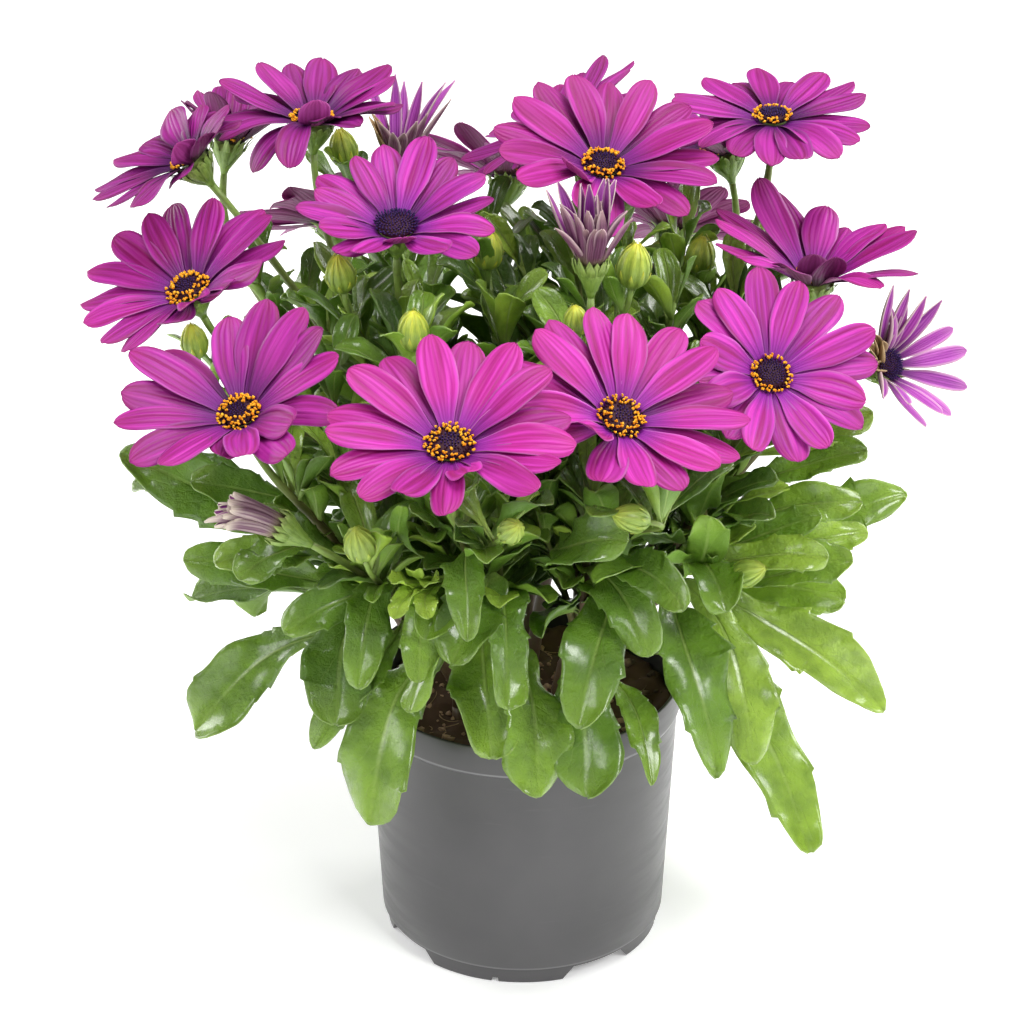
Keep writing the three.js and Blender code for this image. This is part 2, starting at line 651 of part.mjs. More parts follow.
// Points spread over a leaf's blade, for the clearance test.
function leafSamples(leaf) {
  const length = leaf.curve.getPoint(0).distanceTo(leaf.curve.getPoint(1));
  const rows = Math.ceil(length / 9) + 1;
  const across = leaf.width > 15 ? [-1, -0.5, 0, 0.5, 1] : leaf.width > 7 ? [-1, 0, 1] : [0];
  const samples = [];
  for (let i = 1; i <= rows; i++) {
    const t = i / rows;
    const { centre, side } = leafFrame(leaf, t);
    const share = Math.min(1, t * 1.6) * (t > 0.9 ? 0.3 : 1);
    for (const where of across) {
      samples.push(centre.clone().addScaledVector(side, (where * share * leaf.width) / 2));
    }
  }
  return samples;
}

// What leaves keep clear of: sample points of each body, by branch or bloom name.
const occupied = [];
function occupy(owner, points) {
  for (const p of points) {
    occupied.push({ owner, p });
  }
}

// Whether sample points lie clear of the soil, the rim and every other body, and the outer ones of
// them a little clear of the leaf's own branch as well.
function isClear(owner, points, outer) {
  for (const p of points) {
    const reach = Math.hypot(p.x, p.y);
    if (reach < 56 ? p.z < SOIL.top + 5 : reach < 65 && p.z < POT.height + 4) {
      return false;
    }
    for (const other of occupied) {
      const least = other.owner !== owner ? CLEARANCE : outer.includes(p) ? OWN_CLEARANCE : 0;
      if (other.p.distanceToSquared(p) < least * least) {
        return false;
      }
    }
  }
  return true;
}

function curveSamples(curve, spacing) {
  const count = Math.max(2, Math.ceil(curve.getPoint(0).distanceTo(curve.getPoint(1)) / spacing));
  return Array.from({ length: count + 1 }, (_, i) => curve.getPoint(i / count));
}

function makeLeaf(from, bends, tip, width, roll, kind) {
  const out = tip.clone().sub(from);
  const curve = new THREE.CubicBezierCurve3(from, bends[0], bends[1], tip);
  const stations = { toothed: TOOTHED, smooth: SMOOTH, small: SMALL }[kind];
  const toothed = kind === 'toothed';
  const fold = kind === 'small' ? 0.25 : 0.16;
  return { curve, out, width, roll, stations, toothed, fold };
}

// The nearest point to a place on a branch's stem or stalks.
function nearestOnBranch(name, place) {
  let best = null;
  const curves = [stemCurve(BRANCHES[name])];
  for (const stalk of Object.values(stalks)) {
    if (stalk.branch === name) {
      curves.push(stalk.curve);
    }
  }
  for (const curve of curves) {
    for (let i = 2; i <= 16; i++) {
      const point = curve.getPoint(i / 20);
      const above = Math.max(0, point.z - place.z);
      const distance = point.distanceTo(place) + above * 1.5;
      if (best === null || distance < best.distance) {
        best = { point, distance };
      }
    }
  }
  return best.point;
}

const leaves = {};
for (const name of Object.keys(BRANCHES)) {
  leaves[name] = [];
}

function placeLeaves() {
  for (const name of Object.keys(BLOOMS)) {
    const { point } = frameOf(BLOOMS[name].at, BLOOMS[name].face);
    const points = [];
    for (const ray of raysOf(name)) {
      for (const share of [0.15, 0.4, 0.65, 0.9]) {
        const line = rayLine(ray, share);
        const turn = (BLOOMS[name].width * 0.4) / line.radius;
        points.push(point(line.radius, ray.angle - turn, line.height));
        points.push(point(line.radius, ray.angle + turn, line.height));
      }
    }
    occupy(name, points);
    const owner = BLOOMS[name].branch;
    occupy(owner, [0, 1, 2, 3, 4, 5].map((k) => point(6, (k / 6) * TURN, -5)));
    occupy(owner, curveSamples(stalks[name].curve, 7));
  }
  BUDS.forEach((bud, i) => {
    const { point } = frameOf(bud.at, bud.face);
    const owner = budStalks[i].branch;
    for (let k = 0; k < 4; k++) {
      occupy(owner, [point(5, (k / 4) * TURN, 3), point(4, (k / 4) * TURN, 10)]);
    }
    occupy(owner, curveSamples(budStalks[i].curve, 7));
  });
  for (const [name, branch] of Object.entries(BRANCHES)) {
    occupy(name, curveSamples(stemCurve(branch), 7));
  }
  for (const [name, from, tip, width, arch, roll, toothed] of LARGE_LEAVES) {
    const place = vec(from);
    const end = vec(tip);
    const root = nearestOnBranch(name, place);
    const lift = place.distanceTo(end) * arch;
    const bends = [
      place.clone().addScaledVector(UP, lift * 0.6),
      place.clone().lerp(end, 0.55).addScaledVector(UP, lift * 1.3),
    ];
    const leaf = makeLeaf(root, bends, end, width, roll, toothed ? 'toothed' : 'smooth');
    leaves[name].push(leaf);
    occupy(name, leafSamples(leaf));
  }
  Object.entries(stalks).forEach(([name, stalk], index) => placeStalkLeaves(stalk, index, 0.06, 45));
  budStalks.forEach((stalk, index) => placeStalkLeaves(stalk, index + 40, 0.3, 14));
}

// Leaves up one stalk, each turned by the golden angle from the last, shorter toward the top.
function placeStalkLeaves(stalk, index, first, bare) {
  const { branch, curve } = stalk;
  const length = curve.getLength();
  const last = 1 - bare / length;
  const count = Math.floor(((last - first) * length) / LEAF_SPACING);
  for (let j = 0; j < count; j++) {
    const share = count > 1 ? j / (count - 1) : 0;
    const t = first + (last - first) * share;
    const root = curve.getPoint(t);
    for (let attempt = 0; attempt < 4; attempt++) {
      const turn = GOLDEN_ANGLE * j + index * 1.7 + attempt * 0.9;
      const rise = (28 + 30 * share + either(index, j, 9)) * DEG;
      const size = (50 - 17 * share) * (1 + either(index, j + 0.5, 0.14)) * (1 - attempt * 0.12);
      const flat = Math.cos(rise);
      const out = new THREE.Vector3(Math.cos(turn) * flat, Math.sin(turn) * flat, Math.sin(rise));
      const tip = root.clone().addScaledVector(out, size).addScaledVector(UP, -size * 0.1);
      const bends = [
        root.clone().addScaledVector(out, size * 0.33).addScaledVector(UP, size * 0.05),
        root.clone().addScaledVector(out, size * 0.7).addScaledVector(UP, size * 0.06),
      ];
      const leaf = makeLeaf(root, bends, tip, size * 0.31, either(index, j + 0.2, 25), 'small');
      const samples = leafSamples(leaf);
      const skip = leaf.width > 7 ? 3 : 1;
      if (isClear(branch, samples.slice(skip), samples.slice(2 * skip))) {
        leaves[branch].push(leaf);
        occupy(branch, samples);
        break;
      }
    }
  }
}
placeLeaves();

function branchGeometry(name) {
  const pieces = [...stemGeometries(BRANCHES[name])];
  for (const [bloom, stalk] of Object.entries(stalks)) {
    if (stalk.branch === name) {
      const steps = Math.round(stalk.curve.getLength() / 28);
      const { rings, side } = tubeRings(stalk.curve, STEM.stalkRadius, STEM.endRadius, 5, steps);
      pieces.push(loft([...rings, ...calyxRings(bloom, side)]));
    }
  }
  budStalks.forEach((stalk, i) => {
    if (stalk.branch === name) {
      const { rings, side } = tubeRings(stalk.curve, STEM.endRadius, 1, 4, 3);
      pieces.push(loft([...rings, ...budRings(BUDS[i], side)]));
    }
  });
  pieces.push(...leaves[name].map(leafGeometry));
  return geometryOf(fuse(pieces));
}

// ---------- the whole plant ----------
const plant = new THREE.Group();
function add(name, geometry, [colour, roughness]) {
  const material = new THREE.MeshStandardMaterial({ color: colour, roughness, metalness: 0 });
  const mesh = new THREE.Mesh(geometry, material);
  mesh.name = name;
  plant.add(mesh);
}

add('pot', potGeometry(), COLOUR.pot);
add('soil', soilGeometry(), COLOUR.soil);
for (const name of Object.keys(BRANCHES)) {
  add(`branch_${name}`, branchGeometry(name), COLOUR.green);
}
for (const name of Object.keys(BLOOMS)) {
  add(`${name}_rays`, raysGeometry(name), COLOUR.ray);
  if (BLOOMS[name].cup < 75) {
    add(`${name}_disc`, discGeometry(name), COLOUR.disc);
  }
}

export default plant;
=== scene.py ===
"""An osteospermum (African daisy) in flower, in its round plastic nursery pot.

The pot, the peat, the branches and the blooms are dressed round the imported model. The plant's own
measures are written in millimetres and turned to metres as each piece is finished. +Z is up, -Y is
the front, and the origin is the centre of the pot's underside.
"""

import math

import bmesh
import bpy
import numpy as np
from mathutils import Matrix, Quaternion, Vector, noise


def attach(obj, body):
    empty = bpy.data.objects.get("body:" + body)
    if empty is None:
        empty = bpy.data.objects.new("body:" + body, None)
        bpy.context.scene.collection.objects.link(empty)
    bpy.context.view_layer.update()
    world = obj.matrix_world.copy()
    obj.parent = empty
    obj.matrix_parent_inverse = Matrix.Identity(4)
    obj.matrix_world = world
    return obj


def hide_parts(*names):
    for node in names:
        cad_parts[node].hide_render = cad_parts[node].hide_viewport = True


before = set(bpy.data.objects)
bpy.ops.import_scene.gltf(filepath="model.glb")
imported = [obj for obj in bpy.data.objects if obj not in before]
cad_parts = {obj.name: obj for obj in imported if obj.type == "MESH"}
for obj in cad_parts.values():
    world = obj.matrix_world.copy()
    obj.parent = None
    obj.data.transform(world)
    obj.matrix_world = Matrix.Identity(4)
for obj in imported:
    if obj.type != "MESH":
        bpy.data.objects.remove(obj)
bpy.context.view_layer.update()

MM = 0.001
UP = Vector((0, 0, 1))
TURN = 2 * math.pi
GOLDEN_ANGLE = math.radians(137.508)
WELD = 0.0004  # points of a round body nearer together than this become one
POT_WELD = 0.001
NEAR = 0.0001  # half the step over which a curve's heading is taken
LENGTH_STEPS = 200  # in which a curve is measured
MAX_SPOTS = 60000  # room for the points that leaves keep clear of
ATTRIBUTES = ("tone", "upward", "shade")  # what the points keep for their material

# ---------- driving dimensions, in millimetres ----------
POT = {
    "height": 108, "rim": 60.6, "band": 12, "band_step": 1.1, "top": 59.4, "bottom": 54.8,
    "skirt_top": 7, "skirt": 53.6, "foot": 52.8, "wall": 1.3, "floor": 7.6, "underside": 6, "pad": 12,
}
FOOT_GAPS = {"width": 24, "slope": 5, "height": 5.6, "first": 33.5, "every": 90}
NOTCH = {"width": 3, "height": 2}
DRAINS = {"count": 6, "radius": 4.5, "ring": 36}
SOIL = {"bottom": 7.9, "top": 95, "gap": 0.4, "relief": 2.4}
# Painted shade on the peat along the pot's wall: from and to which radius it darkens, how much, and
# its colour.
PAINTED_WALL_SHADE = {"from": 43, "to": 50, "share": 0.85, "colour": (0.014, 0.011, 0.01)}
STEM = {"root_depth": 17, "root": 2.9, "fork": 2.1, "stalk": 1.8, "end": 1.25, "bud_end": 1.0}
HUB = {"radius": 6.5, "half_open": 0.85, "closed": 0.66}
CALYX_FOOT = -13  # where a bloom's stalk ends, along its axis
LEAF_COLUMNS = 12
SMALL_LEAF_COLUMNS = 4
PETAL_GRID = (10, 14)  # columns and rows
YOUNG_PETAL_GRID = (8, 12)
# The least distance from a leaf's sample points to those of other bodies and of its own branch.
CLEARANCE = 7.5
OWN_CLEARANCE = 5
LEAF_SPACING = 18  # along a stalk
FORK_STEP = 0.17  # between the places where stalks leave a stem, as a share of it
# Within this reach of the middle a leaf stays this much above the peat or the pot's rim.
OFF_PEAT = {"reach": 56, "above": 5}
OFF_RIM = {"reach": 65, "above": 4}

# Blooms: name, place of the hub, the way it faces (azimuth from the front toward the right, tilt
# from upright), number of rays, their length and width, cup (how far they rise) and branch.
BLOOM_ROWS = [
    ("b01", (-25, -112, 260), (1, 20), 17, 38, 12.8, 20, "front"),
    ("b02", (34, -81, 255), (33, 30), 17, 38, 12.8, 18, "front_right"),
    ("b03", (88, -46, 255), (14, 38), 16, 31.5, 12.6, 17, "right"),
    ("b04", (-99, -76, 254), (-23, 28), 16, 38, 12.8, 28, "front_left"),
    ("b05", (-122, 4, 265), (-50, 26), 16, 36, 12, 22, "left"),
    ("b06", (-46, 0, 292), (2, 15), 16, 32, 11.8, 22, "left"),
    ("b07", (-79, 68, 306), (-177, 1), 17, 33, 12, 20, "back_left"),
    ("b08", (-123, 40, 302), (-84, 36), 15, 34, 11.5, 22, "back_left"),
    ("b09", (-113, 98, 286), (134, 13), 15, 29, 9.6, 46, "back_left"),
    ("b10", (29, 26, 305), (20, 21), 17, 36, 12.8, 19, "back_right"),
    ("b11", (13, 86, 293), (-98, 29), 16, 33, 11.5, 17, "back"),
    ("b12", (93, 62, 309), (29, 3), 17, 31.5, 12, 8, "right_back"),
    ("b13", (77, 95, 283), (-119, 16), 15, 31, 11.5, 24, "right_back"),
    ("b14", (107, 20, 263), (30, 4), 16, 38, 12.8, 34, "right_back"),
    ("b15", (133, -1, 238), (52, 58), 15, 31, 5.6, 40, "right"),
    ("b16", (24, -34, 294), (180, 1), 15, 34, 5, 70, "front_right"),
    ("b17", (-48, 96, 279), (137, 7), 15, 33, 5, 62, "back_left"),
    ("b18", (-86, -84, 214), (-86, 57), 12, 27, 3.8, 83, "front_left"),
    ("b19", (-6, 142, 252), (170, 34), 16, 35, 12, 19, "back"),
    ("b20", (-76, 132, 238), (-150, 38), 16, 34, 12, 18, "back_left"),
    ("b21", (60, 140, 230), (160, 42), 16, 34, 12, 19, "back"),
]
# Branches: the foot in the soil, and the fork where the flower stalks part.
BRANCHES = {
    "front": ((-6, -17), (-10, -38, 142)),
    "front_right": ((13, -16), (22, -32, 146)),
    "right": ((23, -4), (50, -16, 148)),
    "right_back": ((17, 13), (42, 24, 152)),
    "back_right": ((3, 5), (12, 8, 160)),
    "back": ((1, 24), (6, 48, 148)),
    "back_left": ((-17, 17), (-36, 38, 152)),
    "left": ((-16, 1), (-40, 2, 154)),
    "front_left": ((-24, -12), (-44, -34, 144)),
}
# Buds: place, the way it faces, size, and the bloom whose stalk it springs from.
BUDS = [
    ((-39, -45, 266), (0, 8), 1, "b06"),
    ((39, -18, 278), (60, 6), 1.1, "b10"),
    ((-56, -94, 208), (-25, 25), 1, "b18"),
    ((-120, 2, 240), (-60, 10), 0.9, "b05"),
    ((19, -42, 270), (-20, 12), 0.8, "b16"),
    ((66, 52, 252), (40, 10), 1, "b12"),
    ((-14, 20, 268), (40, 14), 1, "b10"),
    ((-66, 4, 266), (-30, 12), 1, "b06"),
    ((-6, -112, 226), (30, 50), 0.8, "b01"),
    ((43, -98, 224), (-70, 68), 0.9, "b02"),
    ((76, -58, 180), (70, 62), 0.9, "b03"),
    ((-68, 97, 276), (-90, 10), 1, "b17"),
    ((20, 112, 240), (150, 20), 0.9, "b11"),
    ((96, 84, 240), (120, 20), 0.9, "b13"),
]
LEAF_FORMS = ("smooth", "toothed", "pointed", "round")
# Large leaves: branch, start of the blade, tip, width, arch (its rise on the way, as a share of its
# length), roll in degrees, and form, which is a place in LEAF_FORMS.
LARGE_LEAVES = [
    ("front_left", (-80, -24, 142), (-125, -28, 99), 24, 0.10, 44, 3),
    ("front_left", (-62, -44, 158), (-71, -78, 130), 25, 0.22, 10, 0),
    ("front_left", (-44, -56, 150), (-77, -74, 116), 14, 0.16, 36, 2),
    ("front", (-38, -58, 146), (-61, -86, 93), 28, 0.24, 20, 3),
    ("front", (-36, -82, 190), (-37, -100, 160), 14, 0.24, 0, 0),
    ("front", (-18, -84, 200), (-22, -112, 184), 14, 0.5, -12, 0),
    ("front", (-6, -72, 184), (-26, -104, 170), 21, 0.22, 26, 0),
    ("front", (-18, -58, 152), (-10, -88, 121), 24, 0.22, -8, 0),
    ("front", (0, -58, 146), (8, -94, 109), 25, 0.26, 12, 3),
    ("front_right", (25, -58, 142), (20, -92, 108), 27, 0.28, -10, 3),
    ("front_right", (38, -58, 166), (20, -108, 146), 22, 0.38, 0, 0),
    ("front_right", (0, -84, 196), (34, -104, 218), 18, 0.16, -55, 0),
    ("front_right", (38, -56, 132), (49, -80, 106), 12, 0.22, 0, 2),
    ("right", (56, -42, 156), (69, -86, 111), 23, 0.24, 6, 2),
    ("right", (70, -38, 156), (88, -72, 110), 21, 0.2, -18, 0),
    ("right", (76, -24, 124), (110, -52, 60), 24, 0.16, -38, 2),
    ("right", (78, -20, 150), (132, -34, 107), 21, 0.14, -46, 2),
    ("right_back", (84, 0, 140), (122, -6, 144), 19, 0.12, -45, 0),
    ("right_back", (90, 6, 150), (146, 18, 174), 18, 0.1, -42, 2),
    ("right", (70, -40, 168), (110, -54, 188), 13, 0.14, -55, 0),
    ("right", (92, -6, 158), (130, -4, 170), 12, 0.12, -50, 0),
    ("right_back", (98, 4, 192), (131, 12, 212), 12, 0.1, -30, 0),
    ("left", (-92, -8, 164), (-148, -10, 206), 22, 0.08, 60, 2),
    ("left", (-94, 12, 166), (-150, 30, 178), 20, 0.1, 30, 0),
    ("front_left", (-80, -34, 164), (-123, -48, 178), 16, 0.12, 52, 0),
    ("front_left", (-72, -60, 188), (-109, -74, 192), 14, 0.14, 48, 0),
    ("front_left", (-48, -62, 178), (-84, -84, 170), 15, 0.14, 42, 0),
    ("left", (-78, 10, 132), (-128, 22, 128), 20, 0.14, 0, 0),
    ("back_left", (-66, 36, 136), (-108, 60, 104), 24, 0.18, 0, 1),
    ("back_left", (-50, 56, 140), (-76, 96, 106), 24, 0.2, 0, 1),
    ("back_left", (-30, 64, 150), (-44, 108, 124), 22, 0.2, 0, 0),
    ("back", (-8, 62, 138), (-14, 104, 98), 25, 0.22, 0, 1),
    ("back", (14, 62, 146), (22, 112, 120), 22, 0.22, 0, 0),
    ("back", (28, 58, 136), (46, 96, 92), 24, 0.2, 0, 1),
    ("right_back", (52, 48, 142), (84, 84, 112), 24, 0.2, 0, 1),
    ("right_back", (66, 30, 134), (112, 52, 104), 23, 0.18, 0, 1),
    ("back_left", (-76, 30, 170), (-124, 66, 184), 18, 0.12, 0, 0),
    ("back", (-4, 74, 176), (-28, 128, 178), 18, 0.14, 0, 0),
    ("right_back", (66, 60, 172), (104, 102, 182), 18, 0.12, 0, 0),
]

# More smooth leaves among the others: branch, start of the blade, tip, width, arch, roll and how
# young.
MORE_LEAVES = [
    ("front", (-10, -66, 176), (-2, -104, 152), 19, 0.4, 20, 0.45),
    ("front", (-22, -70, 170), (-40, -104, 150), 17, 0.3, -15, 0.6),
    ("front_left", (-52, -60, 176), (-58, -98, 156), 16, 0.4, 15, 0.4),
    ("front_left", (-60, -56, 184), (-98, -66, 206), 13, 0.1, 50, 0.35),
    ("front_right", (30, -66, 186), (54, -104, 190), 15, 0.3, -42, 0.3),
    ("front_right", (22, -60, 176), (46, -100, 172), 18, 0.35, -36, 0.35),
    ("right", (60, -40, 176), (74, -76, 178), 18, 0.25, -10, 0.5),
    ("right", (64, -34, 186), (70, -52, 224), 14, 0.05, -20, 0.4),
    ("right", (74, -30, 170), (108, -40, 196), 14, 0.1, -52, 0.5),
    ("right", (80, -18, 176), (124, -24, 196), 14, 0.1, -50, 0.7),
    ("right_back", (92, 4, 178), (126, 0, 206), 13, 0.1, -48, 0.6),
    ("left", (-84, -10, 180), (-122, -22, 200), 15, 0.1, 50, 0.3),
    ("left", (-80, 0, 196), (-112, -6, 226), 13, 0.05, 48, 0.3),
    ("right", (65, -50, 166), (67, -66, 210), 15, 0.05, 10, 0.55),
    ("front_right", (43, -60, 175), (24, -84, 213), 11, 0.2, -20, 0.05),
    ("right", (61, -52, 181), (37, -76, 207), 12, 0.2, -25, 0.1),
    ("right", (66, -58, 172), (27, -92, 196), 12, 0.25, -20, 0.45),
    ("front", (-45, -72, 192), (-45, -90, 227), 6, 0.05, 0, 0.4),
    ("front", (-23, -70, 198), (-39, -94, 227), 10, 0.15, 20, 0.1),
    ("front_left", (-80, -66, 193), (-100, -84, 193), 15, 0.25, 20, 0.5),
    ("front", (-19, -72, 178), (-33, -100, 178), 16, 0.35, 15, 0.55),
    ("right", (89, -20, 150), (120, -34, 174), 15, 0.15, -50, 0.7),
    ("right_back", (84, 0, 156), (103, -6, 176), 14, 0.1, -50, 0.6),
    ("front", (-40, -92, 190), (-46, -98, 200), 7, 0.3, 10, 1),
    ("front", (-39, -92, 191), (-38, -96, 204), 7, 0.2, 0, 1),
    ("front", (-38, -92, 190), (-30, -98, 200), 7, 0.3, -10, 1),
    ("front", (-38, -92, 188), (-33, -107, 190), 8, 0.4, 0, 1),
    ("front", (-40, -92, 188), (-45, -107, 190), 8, 0.4, 0, 1),
]
# Small leaves between the others: how far apart along a stalk, and the least distance from other
# bodies and from their own branch.
FILLING = {"spacing": 4.4, "apart": 2.5, "own_apart": 1.9}

# Leafy shoots that bear no flower yet: branch and top.
SHOOTS = [
    ("left", (-62, 14, 252)), ("left", (-36, 22, 256)), ("left", (-70, -22, 238)),
    ("back_left", (-46, 62, 254)), ("back_left", (-84, 60, 236)), ("back_left", (-60, 104, 240)),
    ("back", (-14, 66, 262)), ("back", (18, 62, 262)), ("back", (4, 104, 238)),
    ("back", (38, 112, 226)),
    ("back_right", (2, 34, 258)), ("back_right", (40, 50, 262)), ("back_right", (24, -2, 262)),
    ("back_right", (-10, 2, 256)), ("right_back", (62, 66, 262)), ("right_back", (80, 36, 248)),
    ("right_back", (56, 14, 256)), ("right_back", (104, 62, 236)), ("right", (66, -16, 240)),
    ("right", (86, -8, 226)), ("right", (48, -22, 246)), ("front_right", (16, -46, 244)),
    ("front_right", (42, -42, 236)), ("front_right", (4, -62, 226)), ("front", (-24, -52, 244)),
    ("front", (-44, -62, 232)), ("front", (-8, -80, 222)), ("front_left", (-66, -54, 226)),
    ("front_left", (-88, -40, 214)), ("front_left", (-54, -36, 240)),
]

# Each bloom's place between pink magenta (0) and purple (1), where it isn't about the middle.
BLOOM_TONES = {
    "b01": 0.1, "b02": 0.15, "b03": 0.7, "b04": 0.5, "b05": 0.45, "b06": 0.75, "b07": 0.6,
    "b08": 0.65, "b09": 0.7, "b10": 0.2, "b11": 0.5, "b12": 0.5, "b13": 0.6, "b14": 0.35,
}
# How much darker a bloom is than those that stand in the full light.
BLOOM_SHADES = {
    "b04": 0.26, "b05": 0.24, "b06": 0.12, "b07": 0.62, "b08": 0.76, "b09": 0.55, "b10": 0.3,
    "b11": 0.5, "b12": 0.4, "b13": 0.5, "b14": 0.16, "b16": 0.25,
}
# Petals that differ from their neighbours: bloom, petal's number, and the share of its length, with
# how far it curls up and in (or droops, below nought) in radians and how far it is turned round in
# degrees where it does.
PETAL_SHAPES = {
    "b01": {8: 1.08, 9: (0.97, 0.3, 0), 11: (0.62, 1.0, 0)},
    "b02": {6: (0.8, 1.0, 0), 7: (1, 0.3, 0), 8: 0.87, 9: 0.87, 10: 0.93, 13: 0.95},
    "b03": {
        0: 0.72, 1: 0.7, 2: 0.7, 3: 0.92, 4: (1, 0.3, 0), 8: 0.88, 10: (1.08, 0, -8), 11: 1.08,
        13: 1.08, 15: (0.95, 0, -10),
    },
    "b04": {
        1: (0.55, 0.3, 0), 2: (0.75, 0.3, 0), 4: 0.75, 5: 0.95, 10: 0.85, 11: (0.85, 0, 14),
        12: (1, 0, 7), 13: (1, 0, 6), 14: (1, 0, 6), 15: (1, 0, 6),
    },
    "b05": {
        0: (0.8, 0.5, 0), 1: (0.8, 0.4, 0), 6: (0.87, 0, -3), 7: (1, 0, 11), 8: (0.92, 0, 4),
        9: 0.95, 11: 0.94, 12: 0.94, 15: (1, 0.4, 0),
    },
    "b06": {6: 0.85, 8: 0.85, 10: 0.85, 11: 0.9, 13: (0.6, 0.7, 0)},
    "b07": {
        1: 0.9, 2: 0.9, 3: 0.84, 4: 0.95, 5: 0.85, 7: (1, -0.5, 0), 8: (1, -0.9, 0),
        9: (0.95, -1.2, 0), 10: (0.95, -1.0, 0), 11: (0.55, 1.4, 0), 12: (0.45, 0.5, 0), 13: 0.6,
        14: 0.85, 15: 0.88, 16: 0.92,
    },
    "b08": {
        0: (0.75, 0.1, 0), 1: (0.66, 0.1, 0), 2: 0.85, 6: (1, -0.3, 0), 7: (0.5, -0.3, 0),
        8: (0.5, 0.9, 0), 9: (0.5, 0.5, 0), 10: 0.55, 11: 0.55, 12: 0.55, 13: 0.55, 14: 0.6,
    },
    "b09": {
        0: 0.65, 1: 0.65, 2: 0.65, 3: 0.65, 8: 0.65, 9: 0.65, 10: 0.65, 11: 0.75, 12: 0.9,
        13: 0.8, 14: 0.65,
    },
    "b10": {1: (0.62, 0.9, 0), 2: 0.88, 3: (1, -0.3, 0)},
    "b12": {3: (1, 0.4, 0), 11: (1, -0.4, 0)},
    "b14": {
        0: 0.82, 7: (0.7, 0.5, 0), 8: (0.4, 1.5, 0), 9: (0.5, 1.2, 0), 10: 0.85, 13: 0.88,
        14: 0.76, 15: 0.72,
    },
}
DARK_BACKS = ("b14",)  # blooms whose curled petals take the darkest painted shade
# The share of a disc's radius whose florets are still shut, where it isn't about half.
SHUT_SHARES = {
    "b01": 0.42, "b02": 0.4, "b03": 0.68, "b04": 0.46, "b07": 0.78, "b08": 0.82, "b10": 0.6,
    "b12": 0.68, "b14": 0.8,
}
# Discs that are smaller than the rest.
DISC_SIZES = {
    "b03": 0.82, "b04": 0.8, "b05": 0.86, "b07": 0.8, "b08": 0.75, "b10": 0.82, "b12": 0.8, "b14": 0.8,
}
# Stalks that are bare of leaves further down than the rest, in millimetres from the top.
BARE_STALKS = {"b07": 95, "b08": 80, "b12": 85, "b13": 75, "b09": 60}
BARE_DISCS = ("b06", "b15", "b16", "b17")  # discs without open florets
BLOOM_LABELS = ("at", "face", "rays", "length", "width", "cup", "branch")
BLOOMS = {name: dict(zip(BLOOM_LABELS, values)) for name, *values in BLOOM_ROWS}
HALF_OPEN = ("b15", "b16", "b17")
SHUT = ("b18",)
# Petals of half-open blooms that have already widened.
WIDENED = {"b15": (6, 7, 8, 9, 10, 11, 12)}
# Half-open blooms whose leftmost petals have withered: how far to the left these stand.
WITHERED = {"b15": -0.6, "b17": -0.86}


# ---------- small tools ----------
def chance(a, b):
    """A repeatable number from 0 to 1 for each pair of labels."""
    s = math.sin(a * 12.9898 + b * 78.233) * 43758.5453
    return s - math.floor(s)


def either(a, b, reach):
    """A repeatable number from -reach to reach for each pair of labels."""
    return (chance(a, b) * 2 - 1) * reach


def smooth(low, high, x):
    """0 below low, 1 above high, and an even swell between them."""
    t = min(1, max(0, (x - low) / (high - low)))
    return t * t * (3 - 2 * t)


def mix(a, b, share):
    return a + (b - a) * share


def along_table(table, t):
    """The value at t of a table of (t, value) rows, in straight steps."""
    for (t0, v0), (t1, v1) in zip(table, table[1:]):
        if t <= t1:
            return mix(v0, v1, (t - t0) / (t1 - t0)) if t1 > t0 else v1
    return table[-1][1]


class Bend:
    """A cubic curve through the air: its start, its two handles and its end."""

    def __init__(self, start, first, second, end):
        self.points = (start, first, second, end)

    def point(self, t):
        a, b, c, d = self.points
        s = 1 - t
        return a * s**3 + b * (3 * s * s * t) + c * (3 * s * t * t) + d * t**3

    def heading(self, t):
        low, high = max(0, t - NEAR), min(1, t + NEAR)
        return (self.point(high) - self.point(low)).normalized()

    def length(self):
        steps = [self.point(i / LENGTH_STEPS) for i in range(LENGTH_STEPS + 1)]
        return sum((b - a).length for a, b in zip(steps, steps[1:]))


class Head:
    """The axes of a bloom or bud: where it sits, the way it faces, and directions round it."""

    def __init__(self, at, face):
        azimuth, tilt = (math.radians(a) for a in face)
        out = math.sin(tilt)
        self.axis = Vector((out * math.sin(azimuth), -out * math.cos(azimuth), math.cos(tilt)))
        self.side = Vector((0, 1, 0)).cross(self.axis).normalized()
        self.front = self.axis.cross(self.side)
        self.centre = Vector(at)

    def out(self, angle):
        return self.side * math.cos(angle) + self.front * math.sin(angle)

    def round(self, angle):
        return self.front * math.cos(angle) - self.side * math.sin(angle)

    def point(self, radius, angle, height):
        return self.centre + self.out(angle) * radius + self.axis * height


def new_bmesh():
    bm = bmesh.new()
    bm.loops.layers.uv.new("UVMap")
    for label in ATTRIBUTES:
        bm.verts.layers.float.new(label)
    return bm


def blade(bm, columns, rows, place, tone=0.5, upward=None, shade=0.0):
    """A grid bent to shape: place(across, along) gives each point, across from -1 to 1 and along
    from 0 to 1. Tone, upward and shade are kept on its points, for the material."""
    made = bmesh.ops.create_grid(bm, x_segments=columns, y_segments=rows, size=1, calc_uvs=True)
    tone_layer, upward_layer, shade_layer = (bm.verts.layers.float[label] for label in ATTRIBUTES)
    for vert in made["verts"]:
        across, along = vert.co.x, (vert.co.y + 1) / 2
        vert.co = place(across, along)
        vert[tone_layer] = tone
        vert[upward_layer] = along if upward is None else mix(*upward, along)
        vert[shade_layer] = shade
    return made["verts"]


